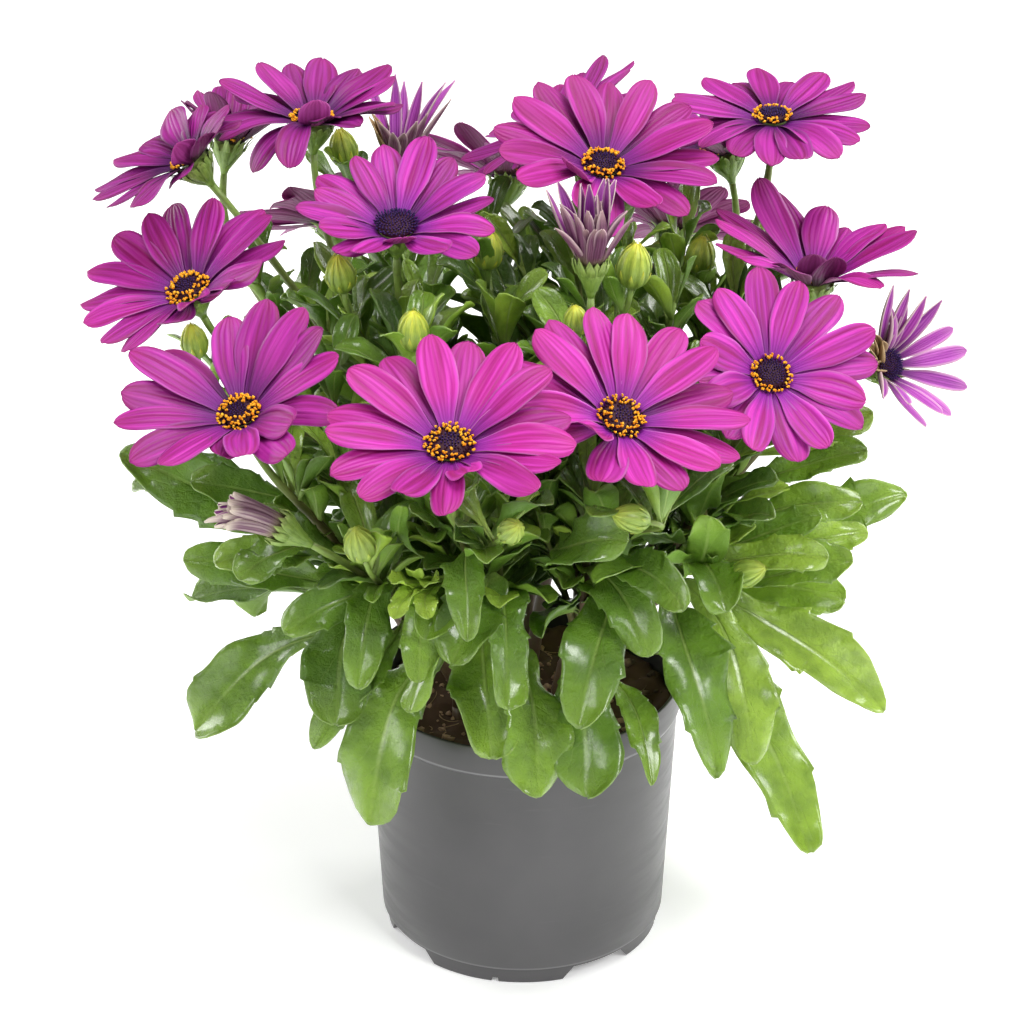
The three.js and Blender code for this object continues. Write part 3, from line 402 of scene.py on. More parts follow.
def turned(bm, profile, sides, ring, tone=0.5, upward=None):
    """A closed round body: ring(radius, angle, height) places its profile of (radius, height)."""
    rows = len(profile) - 1

    def place(across, along):
        radius, height = profile[round(along * rows)]
        return ring(radius, (across + 1) * math.pi, height)

    verts = blade(bm, sides, rows, place, tone, upward)
    bmesh.ops.remove_doubles(bm, verts=verts, dist=WELD)


def tube(bm, curve, radii, sides, steps, tone=0.5, upward=None, bulge=None):
    """A tube with pointed ends along a curve; radii are its radius at the start and at the end."""
    stations = [0] + [i / steps for i in range(steps + 1)] + [1]
    rows = len(stations) - 1
    side = Vector((1, 0, 0))
    frames = []
    for t in stations:
        heading = curve.heading(t)
        side = (side - heading * side.dot(heading)).normalized()
        frames.append((curve.point(t), side, heading.cross(side)))

    def place(across, along):
        row = round(along * rows)
        centre, first, second = frames[row]
        radius = 0 if row in (0, rows) else mix(*radii, stations[row])
        if bulge:
            radius *= bulge(stations[row])
        angle = (across + 1) * math.pi
        return centre + (first * math.cos(angle) + second * math.sin(angle)) * radius

    verts = blade(bm, sides, rows, place, tone, upward)
    bmesh.ops.remove_doubles(bm, verts=verts, dist=WELD)


def new_object(name, bm, scale):
    """Turns a bmesh into an object of the scene."""
    bmesh.ops.scale(bm, vec=(scale, scale, scale), verts=bm.verts)
    mesh = bpy.data.meshes.new(name)
    bm.to_mesh(mesh)
    bm.free()
    made = bpy.data.objects.new(name, mesh)
    bpy.context.scene.collection.objects.link(made)
    return made


def finish_piece(name, bm, materials, nodes, shell=None, under=None, rim=None):
    """Turns a bmesh in millimetres into a finished piece that rides with the pot, in place of the
    model's nodes. A shell is the thickness given to its blades, and under and rim the places of
    their underside's and their edge's material."""
    for face in bm.faces:
        face.smooth = True
    piece = new_object(name, bm, MM)
    for look in materials:
        piece.data.materials.append(look)
    if shell:
        solid = piece.modifiers.new("thickness", "SOLIDIFY")
        solid.thickness = shell * MM
        solid.offset = -1
        solid.use_even_offset = False
        solid.material_offset = under
        solid.material_offset_rim = under if rim is None else rim
    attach(piece, "root")
    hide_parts(*nodes)


# ---------- node webs for the materials ----------
class Web:
    """A node tree under work. Calling it adds a node, sets it and wires its inputs."""

    def __init__(self, tree):
        self.tree = tree

    def __call__(self, kind, wires=None, **settings):
        made = self.tree.nodes.new("ShaderNode" + kind)
        for key, value in settings.items():
            setattr(made, key, value)
        for key, value in (wires or {}).items():
            self.wire(made.inputs[key], value)
        return made

    def wire(self, socket, value):
        """Links a socket to another one or gives it a constant; a colour comes without its alpha."""
        if isinstance(value, bpy.types.NodeSocket):
            self.tree.links.new(value, socket)
        else:
            socket.default_value = (*value, 1) if socket.type == "RGBA" else value

    def maths(self, operation, a, b=0.0, c=None, clamp=False):
        wires = {0: a, 1: b} if c is None else {0: a, 1: b, 2: c}
        return self("Math", wires, operation=operation, use_clamp=clamp).outputs[0]

    def times(self, a, b):
        return self.maths("MULTIPLY", a, b)

    def off_middle(self, value):
        """How far a value from 0 to 1 is from its middle, which is at most a half."""
        return self.maths("ABSOLUTE", self.maths("SUBTRACT", value, 0.5))

    def band(self, value, low, high, out_low=0.0, out_high=1.0):
        """A smooth step from out_low at low to out_high at high."""
        wires = {"Value": value, "From Min": low, "From Max": high}
        wires.update({"To Min": out_low, "To Max": out_high})
        return self("MapRange", wires, interpolation_type="SMOOTHSTEP").outputs["Result"]

    def ramp(self, value, stops):
        made = self("ValToRGB", {"Fac": value})
        elements = made.color_ramp.elements
        while len(elements) < len(stops):
            elements.new(0.5)
        for element, (place, colour) in zip(elements, stops):
            element.position = place
            element.color = (*colour, 1)
        return made.outputs["Color"]

    def blend(self, share, a, b, how="MIX"):
        return self("Mix", {0: share, 6: a, 7: b}, data_type="RGBA", blend_type=how).outputs[2]

    def noise(self, vector, scale, detail=3.0, roughness=0.5):
        wires = {"Vector": vector, "Scale": scale, "Detail": detail, "Roughness": roughness}
        return self("TexNoise", wires).outputs["Fac"]

    def stretched(self, vector, scale):
        return self("VectorMath", {0: vector, 1: scale}, operation="MULTIPLY").outputs["Vector"]

    def shifted(self, vector, way):
        return self("VectorMath", {0: vector, 1: way}, operation="ADD").outputs["Vector"]

    def split(self, vector):
        return self("SeparateXYZ", {"Vector": vector}).outputs

    def place(self):
        return self("TexCoord").outputs["Object"]

    def uv(self):
        return self("UVMap", uv_map="UVMap").outputs["UV"]

    def attribute(self, name):
        return self("Attribute", attribute_name=name, attribute_type="GEOMETRY").outputs["Fac"]

    def bumps(self, height, strength, distance):
        wires = {"Height": height, "Strength": strength, "Distance": distance}
        return self("Bump", wires).outputs["Normal"]

    def placed(self, tree, **wires):
        """The outputs of a node group that is given its own values."""
        return self("Group", wires, node_tree=tree).outputs


def group(name, inputs, outputs, build):
    """A shader node group of plain numbers. Inputs gives their values, outputs their labels, and
    build(web, its inputs) returns a dictionary of the sockets behind the outputs."""
    tree = bpy.data.node_groups.new(name, "ShaderNodeTree")
    for label, value in inputs.items():
        socket = tree.interface.new_socket(label, in_out="INPUT", socket_type="NodeSocketFloat")
        socket.default_value = value
    for label in outputs:
        tree.interface.new_socket(label, in_out="OUTPUT", socket_type="NodeSocketFloat")
    enter = tree.nodes.new("NodeGroupInput")
    leave = tree.nodes.new("NodeGroupOutput")
    for label, socket in build(Web(tree), enter.outputs).items():
        tree.links.new(socket, leave.inputs[label])
    return tree


def start_material(name):
    made = bpy.data.materials.new(name)
    made.use_nodes = True
    return Web(made.node_tree)


def material(name, colour, roughness, normal=None, **sockets):
    """Wires up the shader of the material that start_material began under this name. Each value is
    a constant or a socket of the same tree."""
    made = bpy.data.materials[name]
    web = Web(made.node_tree)
    shader = web.tree.nodes["Principled BSDF"]
    sockets.update({"Base Color": colour, "Roughness": roughness, "Normal": normal})
    for key, value in sockets.items():
        if value is not None:
            web.wire(shader.inputs[key], value)
    return made


# ---------- the plant's lines: rays, stalks and leaves ----------
HEADS = {name: Head(bloom["at"], bloom["face"]) for name, bloom in BLOOMS.items()}
BUD_HEADS = [Head(at, face) for at, face, *_ in BUDS]


def blooms_on(branch):
    return [name for name in BLOOMS if BLOOMS[name]["branch"] == branch]


STALK_ORDER = [name for branch in BRANCHES for name in blooms_on(branch)]


def hub_radius(bloom):
    """A bloom that is not fully open has a narrower hub."""
    if bloom["cup"] > 50:
        return HUB["radius"] * HUB["closed"]
    return HUB["radius"] * (HUB["half_open"] if bloom["cup"] > 36 else 1)


def rays_of(name):
    """Each ray's own angle, rise at its root and at its tip, and length."""
    bloom = BLOOMS[name]
    seed = int(name[1:])
    steady = 0.45 if bloom["cup"] > 50 else 1
    rays = []
    for i in range(bloom["rays"]):
        weave = 2.5 if i % 2 == 0 else -2.5
        root = bloom["cup"] + (weave + either(seed, i + 0.3, 2)) * steady
        rays.append({
            "angle": (i + either(seed, i, 0.07)) / bloom["rays"] * TURN + seed,
            "root": math.radians(root),
            "tip": math.radians(root + (-5 + either(seed, i + 0.6, 10)) * steady),
            "length": bloom["length"] * (1 + either(seed, i + 0.9, 0.05)),
            "start": hub_radius(bloom),
        })
    return rays


def ray_line(ray, share):
    """Radius, height and slope of a ray's middle line at a share of its length."""
    rise = ray["root"] + (ray["tip"] - ray["root"]) * share * 0.5
    radius = ray["start"] + ray["length"] * share * math.cos(rise)
    height = ray["length"] * share * math.sin(rise)
    return radius, height, ray["root"] + (ray["tip"] - ray["root"]) * share


def stem_bend(foot, fork):
    """A stem from the soil to its fork."""
    start = Vector((*foot, SOIL["top"] + 4))
    middle = start + UP * 18
    end = Vector(fork)
    return Bend(start, middle, middle.lerp(end, 0.7), end)


def stalk_bend(start, end, axis, lean):
    """The stalk that ends under a bloom or a bud."""
    reach = (end - start).length
    return Bend(start, start.lerp(end, 0.3) + UP * reach * lean, end - axis * reach * 0.3, end)


STEMS = {branch: stem_bend(foot, fork) for branch, (foot, fork) in BRANCHES.items()}
STALKS = {}
for branch, stem in STEMS.items():
    for order, name in enumerate(blooms_on(branch)):
        head = HEADS[name]
        end = head.centre + head.axis * CALYX_FOOT
        STALKS[name] = stalk_bend(stem.point(0.97 - FORK_STEP * order), end, head.axis, 0.12)
BUD_STALKS = []
for head, (*_, on) in zip(BUD_HEADS, BUDS):
    end = head.centre - head.axis * 1.2
    BUD_STALKS.append(stalk_bend(STALKS[on].point(0.4), end, head.axis, 0.05))
BUD_BRANCHES = [BLOOMS[on]["branch"] for *_, on in BUDS]

SHOOT_CURVES = []
for i, (branch, top) in enumerate(SHOOTS):
    end = Vector(top)
    upright = (UP + Vector((end.x, end.y, 0)).normalized() * 0.2).normalized()
    SHOOT_CURVES.append(stalk_bend(STEMS[branch].point(0.95 - 0.06 * (i % 5)), end, upright, 0.08))

# The width of a blade along its length: share of the length, share of the width.
OUTLINES = {
    "toothed": [
        (0, 0.1), (0.15, 0.13), (0.24, 0.2), (0.33, 0.36), (0.42, 0.56), (0.52, 0.76), (0.62, 0.92),
        (0.7, 1), (0.78, 1), (0.86, 0.94), (0.92, 0.8), (0.96, 0.6), (0.985, 0.4), (1, 0.08),
    ],
    "smooth": [
        (0, 0.12), (0.15, 0.14), (0.25, 0.25), (0.35, 0.45), (0.45, 0.68), (0.55, 0.87), (0.63, 0.97),
        (0.7, 1), (0.78, 0.99), (0.86, 0.91), (0.92, 0.78), (0.965, 0.57), (0.985, 0.4), (1, 0.08),
    ],
    "pointed": [
        (0, 0.12), (0.12, 0.15), (0.22, 0.26), (0.32, 0.46), (0.42, 0.7), (0.52, 0.9), (0.6, 1),
        (0.68, 1), (0.76, 0.95), (0.84, 0.84), (0.9, 0.69), (0.95, 0.49), (0.98, 0.31), (1, 0.06),
    ],
    "round": [
        (0, 0.14), (0.15, 0.18), (0.28, 0.34), (0.4, 0.54), (0.52, 0.72), (0.64, 0.86), (0.74, 0.97),
        (0.82, 1), (0.89, 0.93), (0.94, 0.78), (0.975, 0.55), (0.99, 0.36), (1, 0.1),
    ],
    "small": [
        (0, 0.13), (0.15, 0.26), (0.3, 0.56), (0.45, 0.82), (0.58, 0.97), (0.7, 1), (0.81, 0.9),
        (0.9, 0.68), (0.96, 0.42), (1, 0.07),
    ],
}


class Leaf:
    """A blade along a curve, with its upper face turned up."""

    def __init__(self, curve, width, roll, kind, tone):
        self.curve, self.width, self.roll, self.kind, self.tone = curve, width, roll, kind, tone
        self.fold = 0.3 if kind == "small" else 0.2
        self.away = curve.points[3] - curve.points[0]

    def axes(self, t):
        heading = self.curve.heading(t)
        flat = Vector((heading.x, heading.y, 0))
        if flat.length < 0.2:
            flat = Vector((self.away.x, self.away.y, 0))
        side = flat.cross(UP).normalized()
        side = (side - heading * side.dot(heading)).normalized()
        side.rotate(Quaternion(heading, -math.radians(self.roll) * min(1, t * 2)))
        return self.curve.point(t), side, side.cross(heading).normalized()

    def samples(self):
        """Points spread over the blade, for the clearance test."""
        length = (self.curve.point(1) - self.curve.point(0)).length
        rows = math.ceil(length / 9) + 1
        across = [-1, -0.5, 0, 0.5, 1] if self.width > 15 else [-1, 0, 1] if self.width > 7 else [0]
        points = []
        for i in range(1, rows + 1):
            t = i / rows
            centre, side, _ = self.axes(t)
            share = min(1, t * 1.6) * (0.3 if t > 0.9 else 1)
            points += [centre + side * (where * share * self.width / 2) for where in across]
        return points


class Room:
    """What the leaves keep clear of: points of each body, by the name of its branch or bloom."""

    def __init__(self):
        self.spots = np.empty((MAX_SPOTS, 3))
        self.owners = np.empty(MAX_SPOTS, int)
        self.count = 0
        self.names = {}

    def take(self, owner, points):
        number = self.names.setdefault(owner, len(self.names))
        for p in points:
            self.spots[self.count] = p
            self.owners[self.count] = number
            self.count += 1

    def is_clear(self, owner, points, outer, apart, own_apart):
        """Whether the points lie clear of the soil, the rim and every other body, and those from
        the outer one on lie a little clear of the leaf's own branch as well."""
        number = self.names.get(owner, -1)
        own = self.owners[:self.count] == number
        for i, p in enumerate(points):
            reach = math.hypot(p.x, p.y)
            if reach < OFF_PEAT["reach"]:
                if p.z < SOIL["top"] + OFF_PEAT["above"]:
                    return False
            elif reach < OFF_RIM["reach"] and p.z < POT["height"] + OFF_RIM["above"]:
                return False
            gaps = ((self.spots[:self.count] - np.array(p)) ** 2).sum(1)
            if (gaps[~own] < apart**2).any() or (i >= outer and (gaps[own] < own_apart**2).any()):
                return False
        return True


def curve_samples(curve, spacing):
    count = max(2, math.ceil((curve.point(1) - curve.point(0)).length / spacing))
    return [curve.point(i / count) for i in range(count + 1)]


def nearest_on_branch(branch, place):
    """The nearest point to a place on a branch's stem or stalks."""
    curves = [STEMS[branch]] + [STALKS[name] for name in blooms_on(branch)]
    best = None
    for curve in curves:
        for i in range(2, 17):
            point = curve.point(i / 20)
            distance = (point - place).length + max(0, point.z - place.z) * 1.5
            if best is None or distance < best[0]:
                best = (distance, point)
    return best[1]


def shaped_leaf(branch, start, tip, width, arch, roll, kind, tone):
    """A leaf that is given by the start of its blade and its tip."""
    place, end = Vector(start), Vector(tip)
    lift = (end - place).length * arch
    first = place + UP * lift * 0.6
    second = place.lerp(end, 0.55) + UP * lift * 1.3
    return Leaf(Bend(nearest_on_branch(branch, place), first, second, end), width, roll, kind, tone)


def sprung_leaf(root, turn, rise, size, width, roll, tone):
    """A small leaf that springs from a stalk."""
    flat = math.cos(rise)
    out = Vector((math.cos(turn) * flat, math.sin(turn) * flat, math.sin(rise)))
    curve = Bend(
        root,
        root + out * size * 0.33 + UP * size * 0.05,
        root + out * size * 0.7 + UP * size * 0.06,
        root + out * size - UP * size * 0.1,
    )
    return Leaf(curve, width, roll, "small", tone)


def keep(room, leaves, branch, leaf):
    leaves[branch].append(leaf)
    room.take(branch, leaf.samples())


def settle(room, leaves, branch, leaf, apart, own_apart):
    """Keeps a leaf if there is room for it."""
    samples = leaf.samples()
    skip = 3 if leaf.width > 7 else 1
    if not room.is_clear(branch, samples[skip:], skip, apart, own_apart):
        return False
    keep(room, leaves, branch, leaf)
    return True


def stalk_leaves(room, leaves, branch, curve, index, first, bare):
    """Leaves up one stalk, each turned by the golden angle from the last, shorter toward the top."""
    length = curve.length()
    last = 1 - bare / length
    count = math.floor((last - first) * length / LEAF_SPACING)
    for j in range(count):
        share = j / (count - 1) if count > 1 else 0
        root = curve.point(first + (last - first) * share)
        for attempt in range(4):
            turn = GOLDEN_ANGLE * j + index * 1.7 + attempt * 0.9
            rise = math.radians(28 + 30 * share + either(index, j, 9))
            size = (50 - 17 * share) * (1 + either(index, j + 0.5, 0.14)) * (1 - attempt * 0.12)
            tone = 0.27 + 0.3 * share + either(index, j + 0.7, 0.36)
            leaf = sprung_leaf(root, turn, rise, size, size * 0.31, either(index, j + 0.2, 25), tone)
            if settle(room, leaves, branch, leaf, CLEARANCE, OWN_CLEARANCE):
                break


def filling_leaves(room, leaves, branch, curve, index, first, bare):
    """More leaves between the others, close together, upright and of mixed sizes."""
    length = curve.length()
    last = 1 - bare / length
    count = math.floor((last - first) * length / FILLING["spacing"])
    for j in range(count):
        share = (j + 0.5) / count
        root = curve.point(first + (last - first) * share)
        for attempt in range(6):
            turn = GOLDEN_ANGLE * (j + 0.5) + index * 2.3 + attempt * 1.1
            rise = math.radians(36 + 26 * share + either(index + 70, j, 16))
            size = (44 - 16 * share) * (1 + either(index + 70, j + 0.5, 0.25)) * (1 - attempt * 0.14)
            width = size * (0.29 + either(index + 70, j + 0.4, 0.05))
            young = 0.45 if chance(index + 70, j + 0.9) > 0.8 else 0
            tone = 0.22 + 0.3 * share + either(index + 70, j + 0.7, 0.36) + young
            leaf = sprung_leaf(root, turn, rise, size, width, either(index + 70, j + 0.2, 35), tone)
            if settle(room, leaves, branch, leaf, FILLING["apart"], FILLING["own_apart"]):
                break


def grown_leaves():
    """All leaves of each branch, placed in the order in which they claim their room."""
    room = Room()
    leaves = {branch: [] for branch in BRANCHES}
    for name, bloom in BLOOMS.items():
        head, branch = HEADS[name], bloom["branch"]
        points = []
        for ray in rays_of(name):
            for share in (0.15, 0.4, 0.65, 0.9):
                radius, height, _ = ray_line(ray, share)
                turn = bloom["width"] * 0.4 / radius
                points += [head.point(radius, ray["angle"] + way * turn, height) for way in (-1, 1)]
        room.take(name, points)
        room.take(branch, [head.point(6, k / 6 * TURN, -5) for k in range(6)])
        room.take(branch, curve_samples(STALKS[name], 7))
    for head, branch, curve in zip(BUD_HEADS, BUD_BRANCHES, BUD_STALKS):
        for k in range(4):
            room.take(branch, [head.point(5, k / 4 * TURN, 3), head.point(4, k / 4 * TURN, 10)])
        room.take(branch, curve_samples(curve, 7))
    for branch, stem in STEMS.items():
        room.take(branch, curve_samples(stem, 7))
    for i, (branch, start, tip, width, arch, roll, form) in enumerate(LARGE_LEAVES):
        # Painted light: leaves that reach out to the right get a paler tone, for the light that falls
        # on that side.
        tone = 0.44 + either(90, i, 0.22) + 0.4 * smooth(20, 100, tip[0])
        leaf = shaped_leaf(branch, start, tip, width, arch, roll, LEAF_FORMS[form], tone)
        keep(room, leaves, branch, leaf)
    for index, name in enumerate(STALK_ORDER):
        bare = BARE_STALKS.get(name, 45)
        stalk_leaves(room, leaves, BLOOMS[name]["branch"], STALKS[name], index, 0.06, bare)
    for index, (branch, curve) in enumerate(zip(BUD_BRANCHES, BUD_STALKS)):
        stalk_leaves(room, leaves, branch, curve, index + 40, 0.3, 14)
    for branch, start, tip, width, arch, roll, tone in MORE_LEAVES:
        leaf = shaped_leaf(branch, start, tip, width, arch, roll, "smooth", tone)
        keep(room, leaves, branch, leaf)
    for index, name in enumerate(STALK_ORDER):
        bare = BARE_STALKS.get(name, 45) - 11
        filling_leaves(room, leaves, BLOOMS[name]["branch"], STALKS[name], index, 0.02, bare)
    for index, ((branch, _), curve) in enumerate(zip(SHOOTS, SHOOT_CURVES)):
        filling_leaves(room, leaves, branch, curve, index + 60, 0.1, 1)
    for index, (branch, curve) in enumerate(zip(BUD_BRANCHES, BUD_STALKS)):
        filling_leaves(room, leaves, branch, curve, index + 40, 0.2, 9)
    return leaves


def petal_points():
    """Points all over the petals, and the way that the bloom of each one faces."""
    spots, ways = [], []
    for name, bloom in BLOOMS.items():
        head = HEADS[name]
        for ray in rays_of(name):
            for step in range(1, 10):
                radius, height, _ = ray_line(ray, step / 9)
                turn = bloom["width"] * 0.35 / radius
                for way in (-1, 0, 1):
                    spots.append(head.point(radius, ray["angle"] + way * turn, height))
                    ways.append(head.axis)
    return np.array(spots), np.array(ways)


def pierces(leaf, spots, ways):
    """Whether a small leaf comes up through a petal or lies on top of one."""
    for i in range(9):
        centre, side, _ = leaf.axes(i / 8)
        for across in (-0.4, 0, 0.4):
            gaps = np.array(centre + side * (across * leaf.width)) - spots
            near = (gaps**2).sum(1) < 3.2**2
            if (near & ((gaps * ways).sum(1) > -0.8)).any():
                return True
    return False


# ---------- leaves, stems and buds ----------
# The teeth of each kind of blade: how many on an edge, and their depth as a share of half the width.
TEETH = {
    "toothed": (4, 0.26), "smooth": (3, 0.15), "pointed": (3, 0.24), "round": (3, 0.13),
    "small": (0, 0),
}


def leaf_teeth(leaf, seed):
    """The teeth of each edge of a blade: their places along it, each with its depth."""
    edges = []
    count, deep = TEETH[leaf.kind]
    for way in (0, 1):
        places = [0.36 + 0.5 * (k + chance(seed, k + 0.35 + way * 7)) / count for k in range(count)]
        edges.append([(place, deep * (0.45 + 0.75 * chance(seed, place + way))) for place in places])
    return edges


def tooth_rise(teeth, t):
    """How far a toothed edge stands out at t: a slow rise to each tooth and a sudden fall."""
    rise = 0
    for place, deep in teeth:
        if place - 0.08 < t <= place:
            rise = max(rise, deep * ((t - place + 0.08) / 0.08) ** 1.6)
    return rise


def leaf_blade(bm, leaf, seed):
    outline = OUTLINES[leaf.kind]
    small = leaf.kind == "small"
    long = (leaf.curve.points[3] - leaf.curve.points[1]).length
    fine = (6 if long > 24 else 1) if small else 30
    teeth = leaf_teeth(leaf, seed)
    shares = {t for t, _ in outline} | {round(i / fine, 3) for i in range(fine + 1)}
    for edge in teeth:
        shares |= {place + step for place, _ in edge for step in (0, 0.012)}
    shares = sorted(shares)
    rows = len(shares) - 1
    frames = [leaf.axes(t) for t in shares]
    wave = (0.07 if small else 0.17) * leaf.width
    fuller = 1 + either(seed, 0.15, 0.16 if leaf.kind in ("smooth", "toothed", "small") else 0.06)
    widths = [along_table(outline, t**fuller) * leaf.width / 2 for t in shares]
    phase = chance(seed, 0.3) * TURN
    curl = either(seed, 0.6, 0.34)
    end_curl = either(seed, 0.65, 0.3)
    twist = math.radians(either(seed, 0.9, 26 if small else 9))
    droop = (either(seed, 1.2, 0.8 if small else 0.5) + 0.3) * (0.25 if leaf.kind == "round" else 1)
    swing = either(seed, 1.3, 0.08 if small else 0.07)

    def place(across, along):
        row = round(along * rows)
        t = shares[row]
        centre, side, face = frames[row]
        turn = twist * smooth(0.3, 1, t)
        cos, sin = math.cos(turn), math.sin(turn)
        side, face = side * cos + face * sin, face * cos - side * sin
        centre = centre - face * (droop * long * max(0, t - 0.62) ** 2)
        centre = centre + side * (swing * long * math.sin(t * math.pi * 1.5) * t)
        half = widths[row] * (1 + tooth_rise(teeth[across > 0], t) * abs(across) ** 3)
        way = 1 if across > 0 else -1
        uneven = 0.05 * math.sin(t * 17 + phase) + 0.08 * math.sin(t * 8 + phase * 3)
        x = half * across * (1 + uneven * way)
        beat, fine_beat = (2.1, 1.3) if across > 0 else (0, 0)
        ripple = wave * math.sin(t * 11 + phase + beat) * across * across
        ripple += wave * 0.4 * math.sin(t * 27 + phase * 2 + fine_beat) * abs(across) ** 3
        groove = -0.42 * max(0, 1 - abs(across) * 3.4) * min(1, half / 3)
        bend = mix(curl, end_curl, smooth(0.4, 0.95, t))
        lift = half * (leaf.fold * abs(across) ** 1.4 + bend * across * across)
        lift += ripple * min(1, half / 4)
        return centre + side * x + face * (lift + groove)

    blade(bm, SMALL_LEAF_COLUMNS if small else LEAF_COLUMNS, rows, place, leaf.tone)


def bract(bm, head, angle, path, width, tone, lean=0.0, ripe=1.0):
    """A narrow pointed bract along a path of (radius, height) places up a calyx or a bud."""
    rows = len(path) - 1

    def place(across, along):
        row = round(along * rows)
        radius, height = path[row]
        half = width * (0.55 + 0.45 * math.sin(min(1, along * 1.5) * math.pi / 2)) * (1 - along**2.4)
        turn = (half * across + lean * along) / max(radius, 1.2)
        bulge = 0.16 * width * (1 - across * across)
        return head.point(radius + bulge, angle - turn, height)

    blade(bm, 4, rows, place, tone, (0, ripe))


# The two rings of bracts of a calyx: how many, how far they reach under the rays, and how far they
# hang below them.
CALYX_RINGS = ((11, 3.6, 1.1), (10, 2.2, 1.9))


def calyx(bm, name):
    """The green cup of pointed bracts under a bloom, on the end of its stalk."""
    bloom, head = BLOOMS[name], HEADS[name]
    hub = hub_radius(bloom)
    rise = math.radians(bloom["cup"])
    scale = hub / HUB["radius"]
    foot = CALYX_FOOT
    cup = [(0, foot - 1), (1.3, foot - 0.6), (1.9, foot + 1.4), (3.4 * scale, foot + 3.6)]
    cup += [(4.9 * scale, foot + 6), (hub + 0.5, -4), (hub + 0.4, -2.2), (hub - 1.4, -1.2), (0, -1.1)]
    turned(bm, cup, 26, head.point, 0.4)
    seed = int(name[1:])

    def along_ray(distance, drop):
        return (
            hub + distance * math.cos(rise) + drop * math.sin(rise),
            distance * math.sin(rise) - drop * math.cos(rise),
        )

    young = bloom["cup"] > 50
    longer = 1.6 if bloom["cup"] > 36 and not young else 0
    width = 2.2 if young else 1.8 * scale
    for layer, (count, reach, drop) in enumerate(CALYX_RINGS):
        for i in range(count):
            own = reach + either(seed + layer * 30, i + 0.4, 1.2) + longer
            low = foot + 2.4 + layer * 1.4 + either(seed, i + 0.1, 0.5)
            path = [(2.2 + layer * 0.3, low), (3.8 * scale + 0.5, low + 2.4)]
            path += [(5.5 * scale + 0.6, low + 4.8)]
            path += [(hub + 1.1 + 0.2 * layer, -3.2 - 0.3 * layer), along_ray(0.4, drop + 0.5)]
            path += [along_ray(own * 0.55, drop + 0.15), along_ray(own, drop - 0.2)]
            turn = (i + 0.5 * layer + either(seed, i + 0.7, 0.12)) / count * TURN
            bract(bm, head, turn, path, width, 0.35 + chance(seed + layer, i) * 0.4)


BUD_PROFILE = (
    (0, -1.4), (1.4, -1.0), (2.9, 0.3), (4.2, 1.8), (5.0, 4.0), (5.25, 6.2), (4.9, 8.6), (4.1, 10.8),
    (3.0, 12.6), (2.0, 13.8), (1.1, 14.6), (0, 15),
)
BUD_LOBES = 11
BUD_RINGS = ((BUD_LOBES, 15.4, 1.15), (9, 6.6, 1.25))  # of bracts: how many, their top and their width
GREEN_BUDS = ("b18", "b01", "b02", "b03")  # blooms whose buds are still green at the tip


def profile_radius(height):
    """The radius of a bud at a height."""
    for (r0, h0), (r1, h1) in zip(BUD_PROFILE, BUD_PROFILE[1:]):
        if height <= h1:
            return mix(r0, r1, max(0, (height - h0) / (h1 - h0)))
    return BUD_PROFILE[-1][0]


def bud(bm, index):
    """A pointed bud of long narrow ribs, yellow toward the tip, with loose bracts at its foot."""
    _, _, size, on = BUDS[index]
    head = BUD_HEADS[index]
    ripe = 0.7 if on in GREEN_BUDS else 1

    def ring(radius, angle, height):
        ridge = 1 + 0.07 * abs(math.cos(angle * BUD_LOBES / 2)) * min(1, radius / 3)
        return head.point(radius * ridge * size, angle, height * size)

    turned(bm, BUD_PROFILE, BUD_LOBES * 4, ring, 0.55 + either(index, 3, 0.1), (0, ripe))
    for layer, (count, top, wide) in enumerate(BUD_RINGS):
        for i in range(count):
            reach = top + either(index + 5, i + layer * 0.5, 1.2)
            path = []
            for step in range(8):
                height = -0.6 + (reach + 0.6) * step / 7
                loose = 0.2 + 0.15 * layer + 0.5 * (step / 7) ** 3 * chance(index, i + 0.8)
                path.append(((profile_radius(height) * 1.04 + loose) * size, height * size))
            turn = (i + 0.5 * layer + either(index, i + 0.2, 0.08)) / count * TURN
            tone = 0.5 + chance(index + 9, i + layer * 0.5) * 0.35
            lean = either(index + 3, i + layer * 0.5, 0.5)
            bract(bm, head, turn, path, wide * size, tone, lean, ripe)


def knobby(seed):
    """A stalk swells a little at the scars of its leaves."""
    def swell(t):
        return 1 + 0.07 * math.sin(t * 31 + seed) + 0.05 * math.sin(t * 53 + seed * 2)
    return swell


